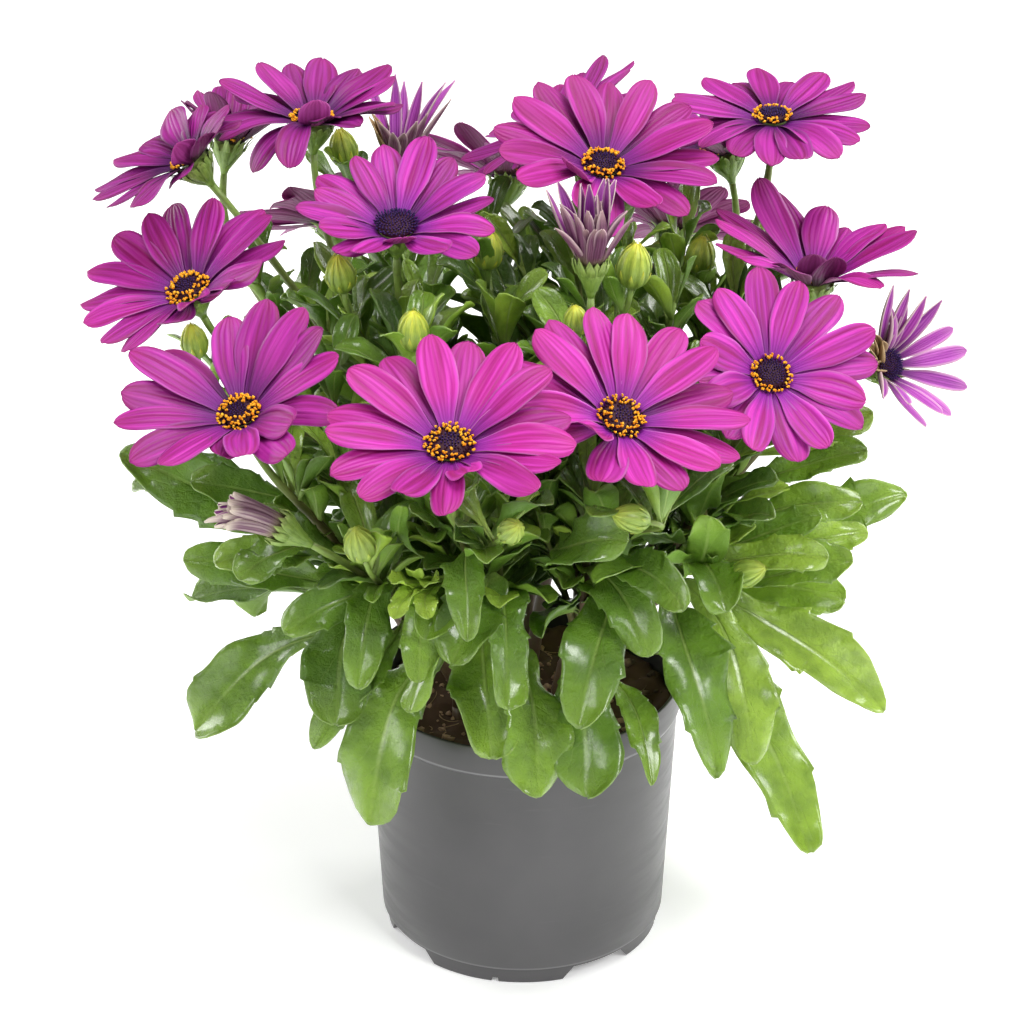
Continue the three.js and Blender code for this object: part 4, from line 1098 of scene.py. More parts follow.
def make_branch(branch, leaves, petals, looks):
    seed = list(BRANCHES).index(branch) + 1
    foot = BRANCHES[branch][0]
    names = blooms_on(branch)
    buds = [i for i, own in enumerate(BUD_BRANCHES) if own == branch]
    nodes = ("branch_" + branch,)

    stems = new_bmesh()
    low = Vector((*foot, SOIL["top"] - STEM["root_depth"]))
    top = Vector((*foot, SOIL["top"] + 4.4))
    straight = Bend(low, low.lerp(top, 0.33), low.lerp(top, 0.66), top)
    tube(stems, straight, (STEM["root"], STEM["root"]), 12, 4, 0.5, (0, 0.02))
    tube(stems, STEMS[branch], (STEM["root"], STEM["fork"]), 12, 14, 0.5, (0, 0.3), knobby(seed))
    for order, name in enumerate(names):
        swell = knobby(seed + order + 1)
        tube(stems, STALKS[name], (STEM["stalk"], 1.35), 10, 22, 0.5, (0.25, 1), swell)
    for i in buds:
        tube(stems, BUD_STALKS[i], (STEM["end"], STEM["bud_end"]), 8, 12, 0.6, (0.6, 1))
    for (own, top), curve in zip(SHOOTS, SHOOT_CURVES):
        if own == branch:
            tube(stems, curve, (1.5, 0.8), 8, 14, 0.6, (0.5, 1))
    finish_piece("stems_" + branch, stems, [looks["stem"]], nodes)

    foliage = new_bmesh()
    for i, leaf in enumerate(leaves[branch]):
        if leaf.kind != "small" or not pierces(leaf, *petals):
            leaf_blade(foliage, leaf, seed * 100 + i)
    faces = [looks["leaf"], looks["leaf_back"]]
    finish_piece("leaves_" + branch, foliage, faces, nodes, 0.5, 1, 0)

    calyxes = new_bmesh()
    for name in names:
        calyx(calyxes, name)
    finish_piece("calyxes_" + branch, calyxes, [looks["bract"]], nodes)
    if buds:
        heads = new_bmesh()
        for i in buds:
            bud(heads, i)
        finish_piece("buds_" + branch, heads, [looks["bud"]], nodes)


# ---------- blooms ----------
def petal_width(t):
    """Share of a petal's full width: narrow at the root, widest past the middle, a rounded tip."""
    widen = 0.34 + 0.66 * smooth(0, 0.55, t)
    if t > 0.66:
        widen *= math.sqrt(max(0, 1 - ((t - 0.66) / 0.34) ** 2.6))
    return max(widen, 0.09)


def rolled(arc, roll, across):
    """Where a strip that is rolled into an arc lies sideways and up, at a place across it."""
    if abs(roll) <= 0.02:
        return arc * across, 0
    return arc / roll * math.sin(roll * across), arc / roll * (1 - math.cos(roll * across))


def twisted(normal, round_way, turn):
    """The directions across and up of a petal that is twisted round its length."""
    cos, sin = math.cos(turn), math.sin(turn)
    return normal * sin - round_way * cos, normal * cos + round_way * sin


def curled_line(ray, share, inward):
    """Radius, height and slope of a ray that bends up and in over the disc as it goes."""
    radius, height = ray["start"], 0
    steps = 12
    for k in range(steps):
        slope = ray["root"] + inward * (share * (k + 0.5) / steps)
        radius += ray["length"] * share / steps * math.cos(slope)
        height += ray["length"] * share / steps * math.sin(slope)
    return radius, height, ray["root"] + inward * share


def petal(bm, name, head, ray, i, habit):
    """One petal along its ray. Habit gives how it rolls, twists and sways."""
    bloom = BLOOMS[name]
    seed = int(name[1:]) + i * 0.37
    width = bloom["width"] / 2 * (1 + either(seed, 1.1, 0.09))
    roll = habit["roll"] + either(seed, 1.2, habit["roll_spread"])
    tip_roll = either(seed, 1.25, 0.5) - 0.12
    twist = either(seed, 1.3, habit["twist"])
    sway = either(seed, 1.4, habit["sway"])
    flick = (either(seed, 1.35, 0.07) - 0.035) * ray["length"]
    ripple = either(seed, 1.5, 0.6)
    phase = chance(seed, 1.6) * TURN
    notch = 0.9 * chance(seed, 1.7)
    shape = habit["shapes"].get(i, 1)
    share, inward, turned_by = shape if isinstance(shape, tuple) else (shape, 0, 0)
    ray = dict(ray, angle=ray["angle"] + math.radians(turned_by), length=ray["length"] * share)
    above = 0.55 if i % 2 == 0 else 0
    out, round_way = head.out(ray["angle"]), head.round(ray["angle"])
    spread = math.sin(min(abs(roll), math.pi / 2)) / abs(roll) if abs(roll) > 0.05 else 1

    def place(across, along):
        t = 1 - (1 - along) ** 1.45
        radius, height, slope = curled_line(ray, t, inward) if inward else ray_line(ray, t)
        forward = out * math.cos(slope) + head.axis * math.sin(slope)
        normal = head.axis * math.cos(slope) - out * math.sin(slope)
        half = width * petal_width(t)
        own_roll = mix(roll * (0.6 + 0.4 * smooth(0, 0.3, t)), tip_roll, smooth(0.35, 1, t))
        x, y = rolled(half / spread, own_roll, across)
        side, up = twisted(normal, round_way, twist * t)
        y += ripple * math.sin(t * 8 + phase) * across * across * min(1, half / 4)
        channels = smooth(0.02, 0.3, t) * (1 - smooth(0.7, 1, t))
        y += 0.2 * math.cos(across * 7.5) * (1 - across * across) * channels
        end = -notch * max(0, 1 - abs(across) * 2.2) * smooth(0.8, 1, t)
        end -= 0.35 * abs(across) ** 3 * smooth(0.6, 1, t)
        base = head.centre + out * radius + head.axis * height
        base = base + normal * (above * smooth(0, 0.2, t) + flick * max(0, t - 0.5) ** 2 * 4)
        return base + side * (x + sway * t * t) + up * y + forward * end

    tone = habit["tone"] + either(seed, 1.8, 0.2)
    # Painted shade: the bloom's own shade, more at random, and more for petals of the lower layer;
    # curled petals take none, or the darkest in DARK_BACKS blooms.
    shade = habit["shade"] + 0.35 * chance(seed, 1.9) ** 2 + (0 if above else 0.24)
    if inward > 0.5:
        shade = 1 if name in DARK_BACKS else 0
    blade(bm, *PETAL_GRID, place, tone, None, min(1, shade))


def young_width(t, taper):
    """Share of a young petal's width: a narrow foot, even sides and a pointed tip. A taper of
    nought gives a rounded tip."""
    if taper:
        narrowed = 1 - max(0, (t - 0.5) / 0.5) ** taper
    else:
        narrowed = math.sqrt(1 - max(0, (t - 0.72) / 0.28) ** 2.2)
    return max(0.12, (0.55 + 0.45 * smooth(0, 0.4, t)) * narrowed)


def young_petal(bm, name, head, ray, i, habit):
    """A petal of a bloom that is only opening: a narrow pointed channel with its edges turned in, or
    one that has already widened."""
    bloom = BLOOMS[name]
    seed = int(name[1:]) + i * 0.37
    width = bloom["width"] / 2 * habit["slim"] * (1 + either(seed, 2.3, 0.12))
    out, round_way = head.out(ray["angle"]), head.round(ray["angle"])
    facing = max(0, -out.y)
    shorter = habit["fewer"] * facing
    length = ray["length"] * (habit["long"] - shorter - habit["uneven"] * chance(seed, 2.1))
    dry = name in WITHERED and out.x < WITHERED[name]
    if dry:
        length *= 0.55
    lean = either(seed, 2.2, habit["lean"]) + (habit["lean"] * 0.7 if i % 2 else 0)
    ray = dict(ray, length=length, root=ray["root"] + lean * 0.5, tip=ray["tip"] + lean * 1.5)
    roll = habit["roll"] + either(seed, 1.2, habit["roll_spread"])
    wide = i in habit["wide"]
    if wide:
        roll, width = 0.4, width * 1.35
    twist = either(seed, 1.3, habit["twist"]) * (0.4 if wide else 1)
    sway = either(seed, 1.4, habit["sway"])
    bow = either(seed, 1.45, 0.05) * length

    def place(across, along):
        t = 1 - (1 - along) ** 1.3
        radius, height, slope = ray_line(ray, t)
        normal = head.axis * math.cos(slope) - out * math.sin(slope)
        own_roll = roll * (0.55 + 0.45 * smooth(0, 0.3, t))
        share = petal_width(t) if wide else young_width(t, habit["taper"])
        x, y = rolled(width * share * roll / math.sin(min(roll, math.pi / 2)), own_roll, across)
        side, up = twisted(normal, round_way, twist * t)
        base = head.centre + out * radius + head.axis * height
        base = base + normal * (bow * math.sin(t * math.pi))
        return base + side * (x + sway * t * t) + up * y - UP * (habit["sag"] * length * t * t)

    tone = habit["tone"] + either(seed, 1.8, 0.25)
    # Painted shade: the bloom's own shade, and more at random.
    shade = habit["shade"] + 0.4 * chance(seed, 1.9)
    verts = blade(bm, *YOUNG_PETAL_GRID, place, tone, None, shade)
    if dry:
        for face in {face for vert in verts for face in vert.link_faces}:
            face.material_index = 2


def habit_of(name):
    """How the petals of a bloom lie, and its colour and painted shade: how they roll, twist and sway,
    how uneven, slim, long and pointed they are, how much shorter they are in front (fewer), how far
    they lean and sag, and how long the ring inside them is."""
    cup = BLOOMS[name]["cup"]
    seed = int(name[1:])
    habit = {
        "shapes": PETAL_SHAPES.get(name, {}),
        "tone": BLOOM_TONES.get(name, 0.5 + either(seed, 7.7, 0.12)),
        "shade": BLOOM_SHADES.get(name, 0),
        "wide": WIDENED.get(name, ()),
        "roll": 0.36, "roll_spread": 0.34, "twist": 0.3, "sway": 3.0,
        "uneven": 0.14, "taper": 2.2, "sag": 0, "inner": 0.8,
    }
    if cup > 75:
        habit.update(
            roll=2.2, roll_spread=0.2, twist=0.25, sway=1.2, slim=0.86, long=1.05, fewer=0, lean=0.1,
            uneven=0.36, taper=0, sag=0.26, inner=0.95,
        )
    elif cup > 50:
        habit.update(
            roll=1.45, roll_spread=0.3, twist=0.35, sway=1.4, slim=0.78, long=0.9, fewer=0.26,
            lean=0.34, taper=3,
        )
        if name == "b17":
            habit.update(roll=1.0, long=1.02, fewer=0.42, lean=0.12, slim=0.98, taper=1.8, inner=0)
    elif name in HALF_OPEN:
        habit.update(
            roll=1.5, roll_spread=0.4, twist=0.4, sway=2.0, slim=0.8, long=0.92, fewer=0.05, lean=0.12,
        )
    elif cup > 40:
        habit.update(roll=0.7, roll_spread=0.3)
    return habit


def make_petals(name, looks):
    bm = new_bmesh()
    habit = habit_of(name)
    cup = BLOOMS[name]["cup"]
    young = name in HALF_OPEN or name in SHUT
    for i, ray in enumerate(rays_of(name)):
        nearer = ray["start"] * (1 - DISC_SIZES.get(name, 1))
        ray = dict(ray, start=ray["start"] - nearer, length=ray["length"] + nearer)
        (young_petal if young else petal)(bm, name, HEADS[name], ray, i, habit)
    if young and habit["inner"]:
        for i, ray in enumerate(rays_of(name)):
            if i in habit["wide"] or (cup < 75 and i % 2):
                continue
            half = math.pi / BLOOMS[name]["rays"]
            inner = dict(ray, angle=ray["angle"] + half, start=ray["start"] * 0.6)
            inner["length"] *= habit["inner"]
            young_petal(bm, name, HEADS[name], inner, i + 20, habit)
    kind = "shut_petal" if name in SHUT else "young_petal" if young else "petal"
    faces = [looks[kind], looks[kind + "_back"]]
    if name in WITHERED:
        faces += [looks["dry_petal"], looks["dry_petal"]]
    finish_piece(name + "_petals", bm, faces, (name + "_rays",), 0.3, 1)


def make_disc(name, looks):
    """The head of florets: a dark dome, shut florets in its middle and open ones round them, with
    their golden anthers."""
    bloom, head = BLOOMS[name], HEADS[name]
    seed = int(name[1:])
    cup = bloom["cup"]
    scale = hub_radius(bloom) / HUB["radius"] * (0.8 if cup > 50 else 0.92 if cup > 30 else 1)
    scale *= DISC_SIZES.get(name, 1)
    florets = new_bmesh()
    dome = [(0, 0.2), (5.0, 0.2), (6.9, 1.0), (7.0, 1.9), (6.0, 2.8), (4.2, 3.2), (2, 3.3), (0, 3.3)]
    turned(florets, [(r * scale, h) for r, h in dome], 24, head.point, 0.2)

    def floret(at, axis, radius, height, sides, waist, tone):
        own = Head((0, 0, 0), (0, 0))
        own.centre = at
        own.axis = axis
        own.side = Vector((0.31, 0.95, 0.05)).cross(axis).normalized()
        own.front = axis.cross(own.side)
        rows = [(0, -0.3), (radius * waist, 0), (radius, height * 0.55)]
        rows += [(radius * 0.7, height * 0.88), (0, height)]
        turned(florets, rows, sides, own.point, tone, (0, 1))
        return own

    def leaning(angle, lean):
        return (head.axis * math.cos(lean) + head.out(angle) * math.sin(lean)).normalized()

    rim = 8.0
    edge = rim * SHUT_SHARES.get(name, 0.95 if name in BARE_DISCS else 0.5)
    shut = round(2.7 * edge * edge)
    for i in range(shut):
        r = edge * scale * math.sqrt((i + 0.4) / shut)
        angle = GOLDEN_ANGLE * i + seed
        lean = r / (9 * scale)
        axis = leaning(angle, lean)
        at = head.point(r, angle, 3.1 - 1.6 * max(0, r / scale / rim - 0.55) + 0.25 * math.sin(i))
        tall = 1.3 - 0.5 * (1 - r / (edge * scale))
        floret(at, axis, 0.36 * scale, tall, 5, 0.8, 0.4 + chance(seed, i) * 0.5)

    anthers = new_bmesh()
    rings = [] if name in BARE_DISCS else [edge + 0.7 + 1.05 * k for k in range(5)]
    rings = [r for r in rings if r < rim]
    for layer, r in enumerate(rings):
        lean = 0.15 + 0.95 * (r / rim) ** 2
        count = round(TURN * r / 1.5)
        for i in range(count):
            angle = (i + 0.5 * layer + either(seed, i + layer * 0.3, 0.4)) / count * TURN
            own_lean = lean + either(seed + layer, i + 0.25, 0.3)
            axis = leaning(angle, own_lean)
            own_r = (r + either(seed, i + 0.2, 0.4)) * scale
            at = head.point(own_r, angle, 3.0 - 1.7 * (r / rim) ** 2.2)
            own = floret(at, axis, 0.5 * scale, 1.3, 5, 0.5, chance(seed + 3, i) * 0.25)
            if chance(seed + layer, i + 0.8) < 0.24:
                continue
            top = own.centre + axis * (1.35 + chance(seed, i + 0.6) * 0.6)
            size = 0.42 + 0.18 * chance(seed + 1, i + 0.1)
            for grain in range(2 + round(chance(seed + 2, i + layer))):
                turn = chance(i, grain + layer * 0.7) * TURN
                off = (own.out(turn) * 0.45 + axis * either(i, grain + 0.2, 0.35)) * min(1, grain)
                own_size = size * (1 - 0.2 * grain)
                made = bmesh.ops.create_icosphere(anthers, subdivisions=1, radius=own_size)["verts"]
                for k, vert in enumerate(made):
                    vert.co = vert.co * (1 + either(seed + i, k + layer * 0.5 + grain, 0.28))
                    vert.co = top + off + vert.co + axis * vert.co.dot(axis) * 0.3
    finish_piece(name + "_florets", florets, [looks["floret"]], (name + "_disc",))
    if anthers.verts:
        finish_piece(name + "_anthers", anthers, [looks["anther"]], (name + "_disc",))
    else:
        anthers.free()


# ---------- pot and peat ----------
INNER_TOP = POT["rim"] - POT["band_step"] - POT["wall"] - 0.4  # the wall's inner radius under the band


def pot_profile():
    """The pot's section, as (radius, height): up the outside from underneath and down the inside."""
    height, wall, floor, skirt_top = (POT[key] for key in ("height", "wall", "floor", "skirt_top"))
    rim, foot, top, bottom = (POT[key] for key in ("rim", "foot", "top", "bottom"))
    band = height - POT["band"]
    outside = [(0, POT["underside"]), (foot - wall - 1, POT["underside"]), (foot - wall - 1, 0.2)]
    outside += [(foot - wall - 0.8, 0), (foot - 0.4, 0), (foot, 0.4), (POT["skirt"], skirt_top - 0.2)]
    outside += [(bottom - 0.35, skirt_top), (bottom, skirt_top + 0.5)]
    for k in range(1, 7):
        outside.append((mix(bottom, top, k / 6), mix(skirt_top + 0.5, band - 0.8, k / 6)))
    outside += [(top + 0.15, band - 0.7), (top + 0.4, band - 0.5), (rim - 0.3, band + 0.3)]
    outside += [(rim - 0.1, band + 0.8), (rim, height - 0.7), (rim - 0.25, height - 0.15)]
    inside = [(rim - 0.6, height), (rim - 1.2, height), (rim - 1.6, height - 0.3)]
    inside += [(rim - 1.8, height - 1)]
    inside += [(INNER_TOP + 0.3, band), (INNER_TOP - 0.1, band - 1.4), (INNER_TOP - 0.6, band - 4)]
    inside += [(bottom - wall, floor + 1), (bottom - wall - 1, floor), (0, floor)]
    return outside + inside


def spun(bm, profile, steps):
    """A profile turned all the way round the upright axis."""
    verts = [bm.verts.new((radius, 0, height)) for radius, height in profile]
    edges = [bm.edges.new(pair) for pair in zip(verts, verts[1:])]
    bmesh.ops.spin(
        bm, geom=verts + edges, cent=(0, 0, 0), axis=UP, angle=TURN, steps=steps, use_merge=True
    )
    bmesh.ops.remove_doubles(bm, verts=bm.verts, dist=POT_WELD)
    bmesh.ops.recalc_face_normals(bm, faces=bm.faces)


def pot_cutters():
    """What is cut away under the pot: the gaps between its feet, the notches and the drain holes."""
    bm = bmesh.new()
    foot = POT["foot"]

    def prism(low, high, bottom, top, near, far, turn):
        made = bmesh.ops.create_cube(bm, size=1)["verts"]
        for vert in made:
            wide = high if vert.co.z > 0 else low
            vert.co = Vector((
                wide * (1 if vert.co.x > 0 else -1),
                near if vert.co.y > 0 else far,
                top if vert.co.z > 0 else bottom,
            ))
        bmesh.ops.rotate(bm, verts=made, cent=(0, 0, 0), matrix=Matrix.Rotation(turn, 3, "Z"))

    for i in range(4):
        middle = math.radians(FOOT_GAPS["first"] + i * FOOT_GAPS["every"] - 90) + math.pi / 2
        low = foot * math.sin(math.radians(FOOT_GAPS["width"] / 2)) + FOOT_GAPS["slope"]
        prism(low, low - FOOT_GAPS["slope"], -1, FOOT_GAPS["height"], -foot + 12, -foot - 12, middle)
        notch = NOTCH["width"] / 2
        prism(notch, notch * 0.8, -1, NOTCH["height"], -foot + 9, -foot - 5, middle + math.pi / 4)
    radius = DRAINS["radius"]
    for i in range(DRAINS["count"]):
        made = bmesh.ops.create_cone(
            bm, cap_ends=True, segments=28, radius1=radius, radius2=radius, depth=6
        )["verts"]
        place = Matrix.Rotation(i / DRAINS["count"] * TURN, 3, "Z") @ Vector((DRAINS["ring"], 0, 0))
        bmesh.ops.translate(bm, verts=made, vec=place + UP * POT["underside"])
    return bm


def make_pot(looks):
    bm = bmesh.new()
    spun(bm, pot_profile(), 160)
    radius, tall = POT["pad"], POT["underside"]
    pad = bmesh.ops.create_cone(
        bm, cap_ends=True, segments=48, radius1=radius, radius2=radius + 0.3, depth=tall
    )["verts"]
    bmesh.ops.translate(bm, verts=pad, vec=UP * (tall / 2 + 0.01))
    shell = new_object("pot_shell", bm, MM)
    cutter = new_object("pot_cutter", pot_cutters(), MM)
    cut = shell.modifiers.new("cut", "BOOLEAN")
    cut.operation = "DIFFERENCE"
    cut.solver = "EXACT"
    cut.use_self = True
    cut.object = cutter
    depsgraph = bpy.context.evaluated_depsgraph_get()
    mesh = bpy.data.meshes.new_from_object(shell.evaluated_get(depsgraph))
    shell.modifiers.clear()
    shell.data = mesh
    bpy.data.objects.remove(cutter)
    mesh.materials.clear()
    mesh.materials.append(looks["plastic"])
    mesh.materials.append(looks["plastic_inside_dust_and_shade"])
    # Faces inside the pot, on its inner floor and on the top of its rim take the near-black material
    # of painted shade.
    for face in mesh.polygons:
        face.use_smooth = True
        reach = math.hypot(face.center.x, face.center.y)
        outward = face.center.x * face.normal.x + face.center.y * face.normal.y
        inward = outward < -0.3 * reach or face.normal.z > 0.9
        within = face.center.z > POT["floor"] * MM - 0.0002 and reach < (POT["rim"] - 0.5) * MM
        face.material_index = 1 if inward and within else 0
    mesh.set_sharp_from_angle(angle=math.radians(32))
    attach(shell, "root")
    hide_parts("pot")


def peat_height(x, y):
    """The crumbly top of the peat."""
    waves = math.sin(x * 0.21 + 1.3) * math.cos(y * 0.17 - 0.4) + 0.6 * math.sin(x * 0.37 - y * 0.31)
    lumps = noise.noise(Vector((x * 0.16, y * 0.16, 0.4))) * 2.2
    crumbs = noise.noise(Vector((x * 0.55, y * 0.55, 3.1))) * 1.3
    grains = noise.noise(Vector((x * 1.3, y * 1.3, 7.7))) * 0.6
    return SOIL["top"] + SOIL["relief"] * 0.5 * waves + lumps + crumbs + grains - 0.6


def make_peat(looks):
    inner_low = POT["bottom"] - POT["wall"] - SOIL["gap"] - 1
    inner_high = INNER_TOP - SOIL["gap"] - 0.6
    bm = new_bmesh()
    rings = 38
    profile = [(0, SOIL["bottom"]), (inner_low, SOIL["bottom"]), (inner_high, SOIL["top"] - 5)]
    profile += [(inner_high * (1 - k / rings), None) for k in range(rings + 1)]

    def ring(radius, angle, height):
        x, y = radius * math.cos(angle), radius * math.sin(angle)
        return Vector((x, y, peat_height(x, y) if height is None else height))

    turned(bm, profile, 120, ring)
    finish_piece("peat", bm, [looks["peat"]], ("soil",))

    crumbs = new_bmesh()
    for i in range(420):
        reach = inner_high * 0.98 * math.sqrt(chance(i, 21.1))
        angle = chance(i, 22.2) * TURN
        x, y = reach * math.cos(angle), reach * math.sin(angle)
        size = 0.5 + 1.5 * chance(i, 23.3) ** 3
        made = bmesh.ops.create_icosphere(crumbs, subdivisions=1, radius=size)["verts"]
        for k, vert in enumerate(made):
            vert.co *= 1 + either(i, k + 0.7, 0.35)
            vert.co.z *= 0.8
        bmesh.ops.translate(crumbs, verts=made, vec=(x, y, peat_height(x, y) + size * 0.35))
    finish_piece("peat_crumbs", crumbs, [looks["crumb"]], ("soil",))

    fibres = new_bmesh()
    for i in range(90):
        reach = inner_high * 0.9 * math.sqrt(chance(i, 31.1))
        angle = chance(i, 32.2) * TURN
        start = Vector((reach * math.cos(angle), reach * math.sin(angle), 0))
        start.z = peat_height(start.x, start.y) + 0.2
        way = chance(i, 33.3) * TURN
        long = 4 + 8 * chance(i, 34.4)
        bends = [start]
        for k in range(1, 4):
            turn = way + k * 0.35
            spot = start + Vector((math.cos(turn), math.sin(turn), 0)) * long * k / 3
            spot *= min(1, inner_high * 0.96 / max(1, math.hypot(spot.x, spot.y)))
            spot.z = peat_height(spot.x, spot.y) + 0.3 + 0.9 * chance(i, k + 0.5)
            bends.append(spot)
        tube(fibres, Bend(*bends), (0.16 + 0.12 * chance(i, 35.5), 0.1), 5, 7, chance(i, 36.6))
    finish_piece("peat_fibres", fibres, [looks["fibre"]], ("soil",))


# ---------- materials ----------
def petal_pattern():
    """Lengthwise veins, broad bands, fine streaks and the edge, along a petal's own UV map."""
    def build(web, _):
        uv = web.uv()
        own = web("CombineXYZ", {"X": web.times(web.attribute("tone"), 71.0)}).outputs["Vector"]
        split = web.split(uv)

        def own_noise(stretch, *detail):
            return web.noise(web.shifted(web.stretched(uv, stretch), own), 1.0, *detail)

        wander = own_noise((3, 5, 1), 2.0)
        x = web.maths("ADD", split["X"], web.times(web.maths("SUBTRACT", wander, 0.5), 0.06))
        gap = web.maths("PINGPONG", web.maths("SUBTRACT", x, 0.07), 0.07)
        side = web.times(web.off_middle(split["X"]), 2.0)
        lines = web.times(web.band(gap, 0.0, 0.06, 1.0, 0.0), web.band(side, 0.6, 0.9, 1.0, 0.0))
        bands = own_noise((6.5, 0.9, 1), 1.0)
        streaks = own_noise((34, 2.0, 1), 3.0, 0.6)
        height = web.maths("ADD", web.times(streaks, 0.35), web.times(lines, -0.5))
        height = web.maths("MULTIPLY_ADD", bands, 1.1, height)
        return dict(zip(labels, (lines, bands, streaks, side, split["Y"], height)))

    labels = ("Lines", "Bands", "Streaks", "Side", "Along", "Height")
    return group("petal pattern", {}, labels, build)


def mottling():
    """Cloudy and fine unevenness in the object's own space, with a height for its bumps."""
    def build(web, given):
        place = web.place()
        clouds = web.noise(place, given["Scale"], 2.0)
        grains = web.noise(place, web.times(given["Scale"], 9.0), 3.0, 0.6)
        height = web.maths("MULTIPLY_ADD", grains, given["Fine"], clouds)
        return {"Clouds": clouds, "Grains": grains, "Height": height}

    return group("mottling", {"Scale": 100.0, "Fine": 0.3}, ("Clouds", "Grains", "Height"), build)


def petal_looks(name, pattern, colours, roughness):
    """A petal face: a body between two hues, lighter and darker bands along it, fine darker veins, a
    violet root, and a paler edge. The bands are partly the petal's own streaks and partly painted
    highlight on its lengthwise ridges and painted shade in its grooves. Painted shade darkens the
    petals of blooms out of the full light and the petals that lie underneath, most at their roots."""
    web = start_material(name)
    lines = web.placed(pattern)
    bands, side, along = lines["Bands"], lines["Side"], lines["Along"]
    shade = web.attribute("shade")
    body = web.blend(web.attribute("tone"), colours["warm"], colours["cool"])
    # Painted highlight and shade in part: the lighter bands stand partly for light on the petal's
    # lengthwise ridges, the darker bands partly for shade in its grooves, and the rest is the petal's
    # own streaking.
    bright = web.band(bands, 0.48, 0.68, 0.0, colours["bright_share"])
    body = web.blend(bright, body, colours["bright"])
    for share in (
        web.band(bands, 0.5, 0.3, 0.0, colours["band"]),
        web.band(lines["Streaks"], 0.45, 0.7, 0.0, colours["streak"]),
        web.times(lines["Lines"], colours["vein"]),
        web.band(side, 0.1, 0.75, colours["middle"], 0.0),
    ):
        body = web.blend(share, body, colours["line"])
    body = web.blend(web.band(along, 0.6, 1.0, 0.0, colours["tip_share"]), body, colours["tip"])
    body = web.blend(web.band(along, 0.0, colours["root_reach"], 0.85, 0.0), body, colours["root"])
    fade = web.times(web.band(along, 0.45, 0.8, 1.0, colours["rim_fade"]), colours["rim_share"])
    edge = web.band(side, colours["rim_from"], 0.99)
    body = web.blend(web.times(edge, fade), body, colours["rim"])
    # Painted shade: the shade value darkens the petal toward the deep colour, and more toward its
    # root.
    low = web.times(web.band(along, 0.0, 0.5, 0.75, 0.0), shade)
    dark = web.maths("ADD", web.times(shade, 0.62), low, clamp=True)
    body = web.blend(dark, body, web.blend(1.0, body, colours["deep"], "MULTIPLY"))
    normal = web.bumps(lines["Height"], 0.5, 0.0006)
    return material(name, body, roughness, normal, **{"Specular IOR Level": 0.28})


def leaf_looks(name, mottle, colours, roughness, strength, coat):
    """A leaf face: old to young green, pale midrib, side veins and margin, and a quilted gloss."""
    web = start_material(name)
    split = web.split(web.uv())
    away, along = web.off_middle(split["X"]), split["Y"]
    spots = web.placed(mottle, Scale=110.0, Fine=0.4)
    quilt = web.placed(mottle, Scale=330.0, Fine=0.3)
    greens = ((0.0, colours["old"]), (0.5, colours["grown"]), (1.0, colours["young"]))
    body = web.ramp(web.attribute("tone"), greens)
    body = web.blend(web.band(spots["Clouds"], 0.35, 0.7, 0.0, 0.45), body, colours["old"])
    body = web.blend(web.band(along, 0.05, 0.35, 0.6, 0.0), body, colours["pale"])
    body = web.blend(web.band(along, 0.75, 1.0, 0.0, 0.25), body, colours["young"])
    rib = web.times(web.band(away, 0.012, 0.05, 1.0, 0.0), web.band(along, 0.4, 1.0, 1.0, 0.15))
    run = web.maths("FRACT", web.times(web.maths("SUBTRACT", along, web.times(away, 0.55)), 9.0))
    veins = web.band(web.off_middle(run), 0.0, 0.09, 1.0, 0.0)
    veins = web.times(veins, web.band(away, 0.1, 0.45, 0.6, 0.0))
    marks = web.maths("MAXIMUM", rib, web.times(veins, 0.45))
    body = web.blend(web.times(marks, colours["vein"]), body, colours["pale"])
    body = web.blend(web.band(away, 0.475, 0.497, 0.0, colours["margin"]), body, colours["pale"])
    height = web.maths("MULTIPLY_ADD", quilt["Height"], 0.9, web.times(spots["Clouds"], 0.9))
    height = web.maths("MULTIPLY_ADD", spots["Grains"], 0.45, height)
    height = web.maths("SUBTRACT", height, web.times(marks, 0.5))
    gloss = web.band(spots["Grains"], 0.3, 0.7, roughness - 0.06, roughness + 0.1)
    shine = web.band(quilt["Height"], 0.35, 0.75, coat * 0.35, coat)
    coating = {"Coat Weight": shine, "Coat Roughness": 0.2, "Specular IOR Level": 0.42}
    return material(name, body, gloss, web.bumps(height, strength, 0.0016), **coating)


def green_looks(name, mottle, roughness, share, streak, stops):
    """Bracts, stalks and buds: a run of colours along them, with fine lengthwise streaks."""
    web = start_material(name)
    lines = web.noise(web.stretched(web.uv(), (14, 3, 1)), 1.0, 3.0, 0.6)
    spots = web.placed(mottle, Scale=260.0, Fine=0.3)
    body = web.ramp(web.attribute("upward"), stops)
    body = web.blend(web.band(lines, 0.42, 0.66, 0.0, share), body, streak)
    body = web.blend(web.band(spots["Clouds"], 0.4, 0.7, 0.0, 0.3), body, streak)
    height = web.maths("MULTIPLY_ADD", lines, 0.8, spots["Height"])
    return material(name, body, roughness, web.bumps(height, 0.45, 0.0005))


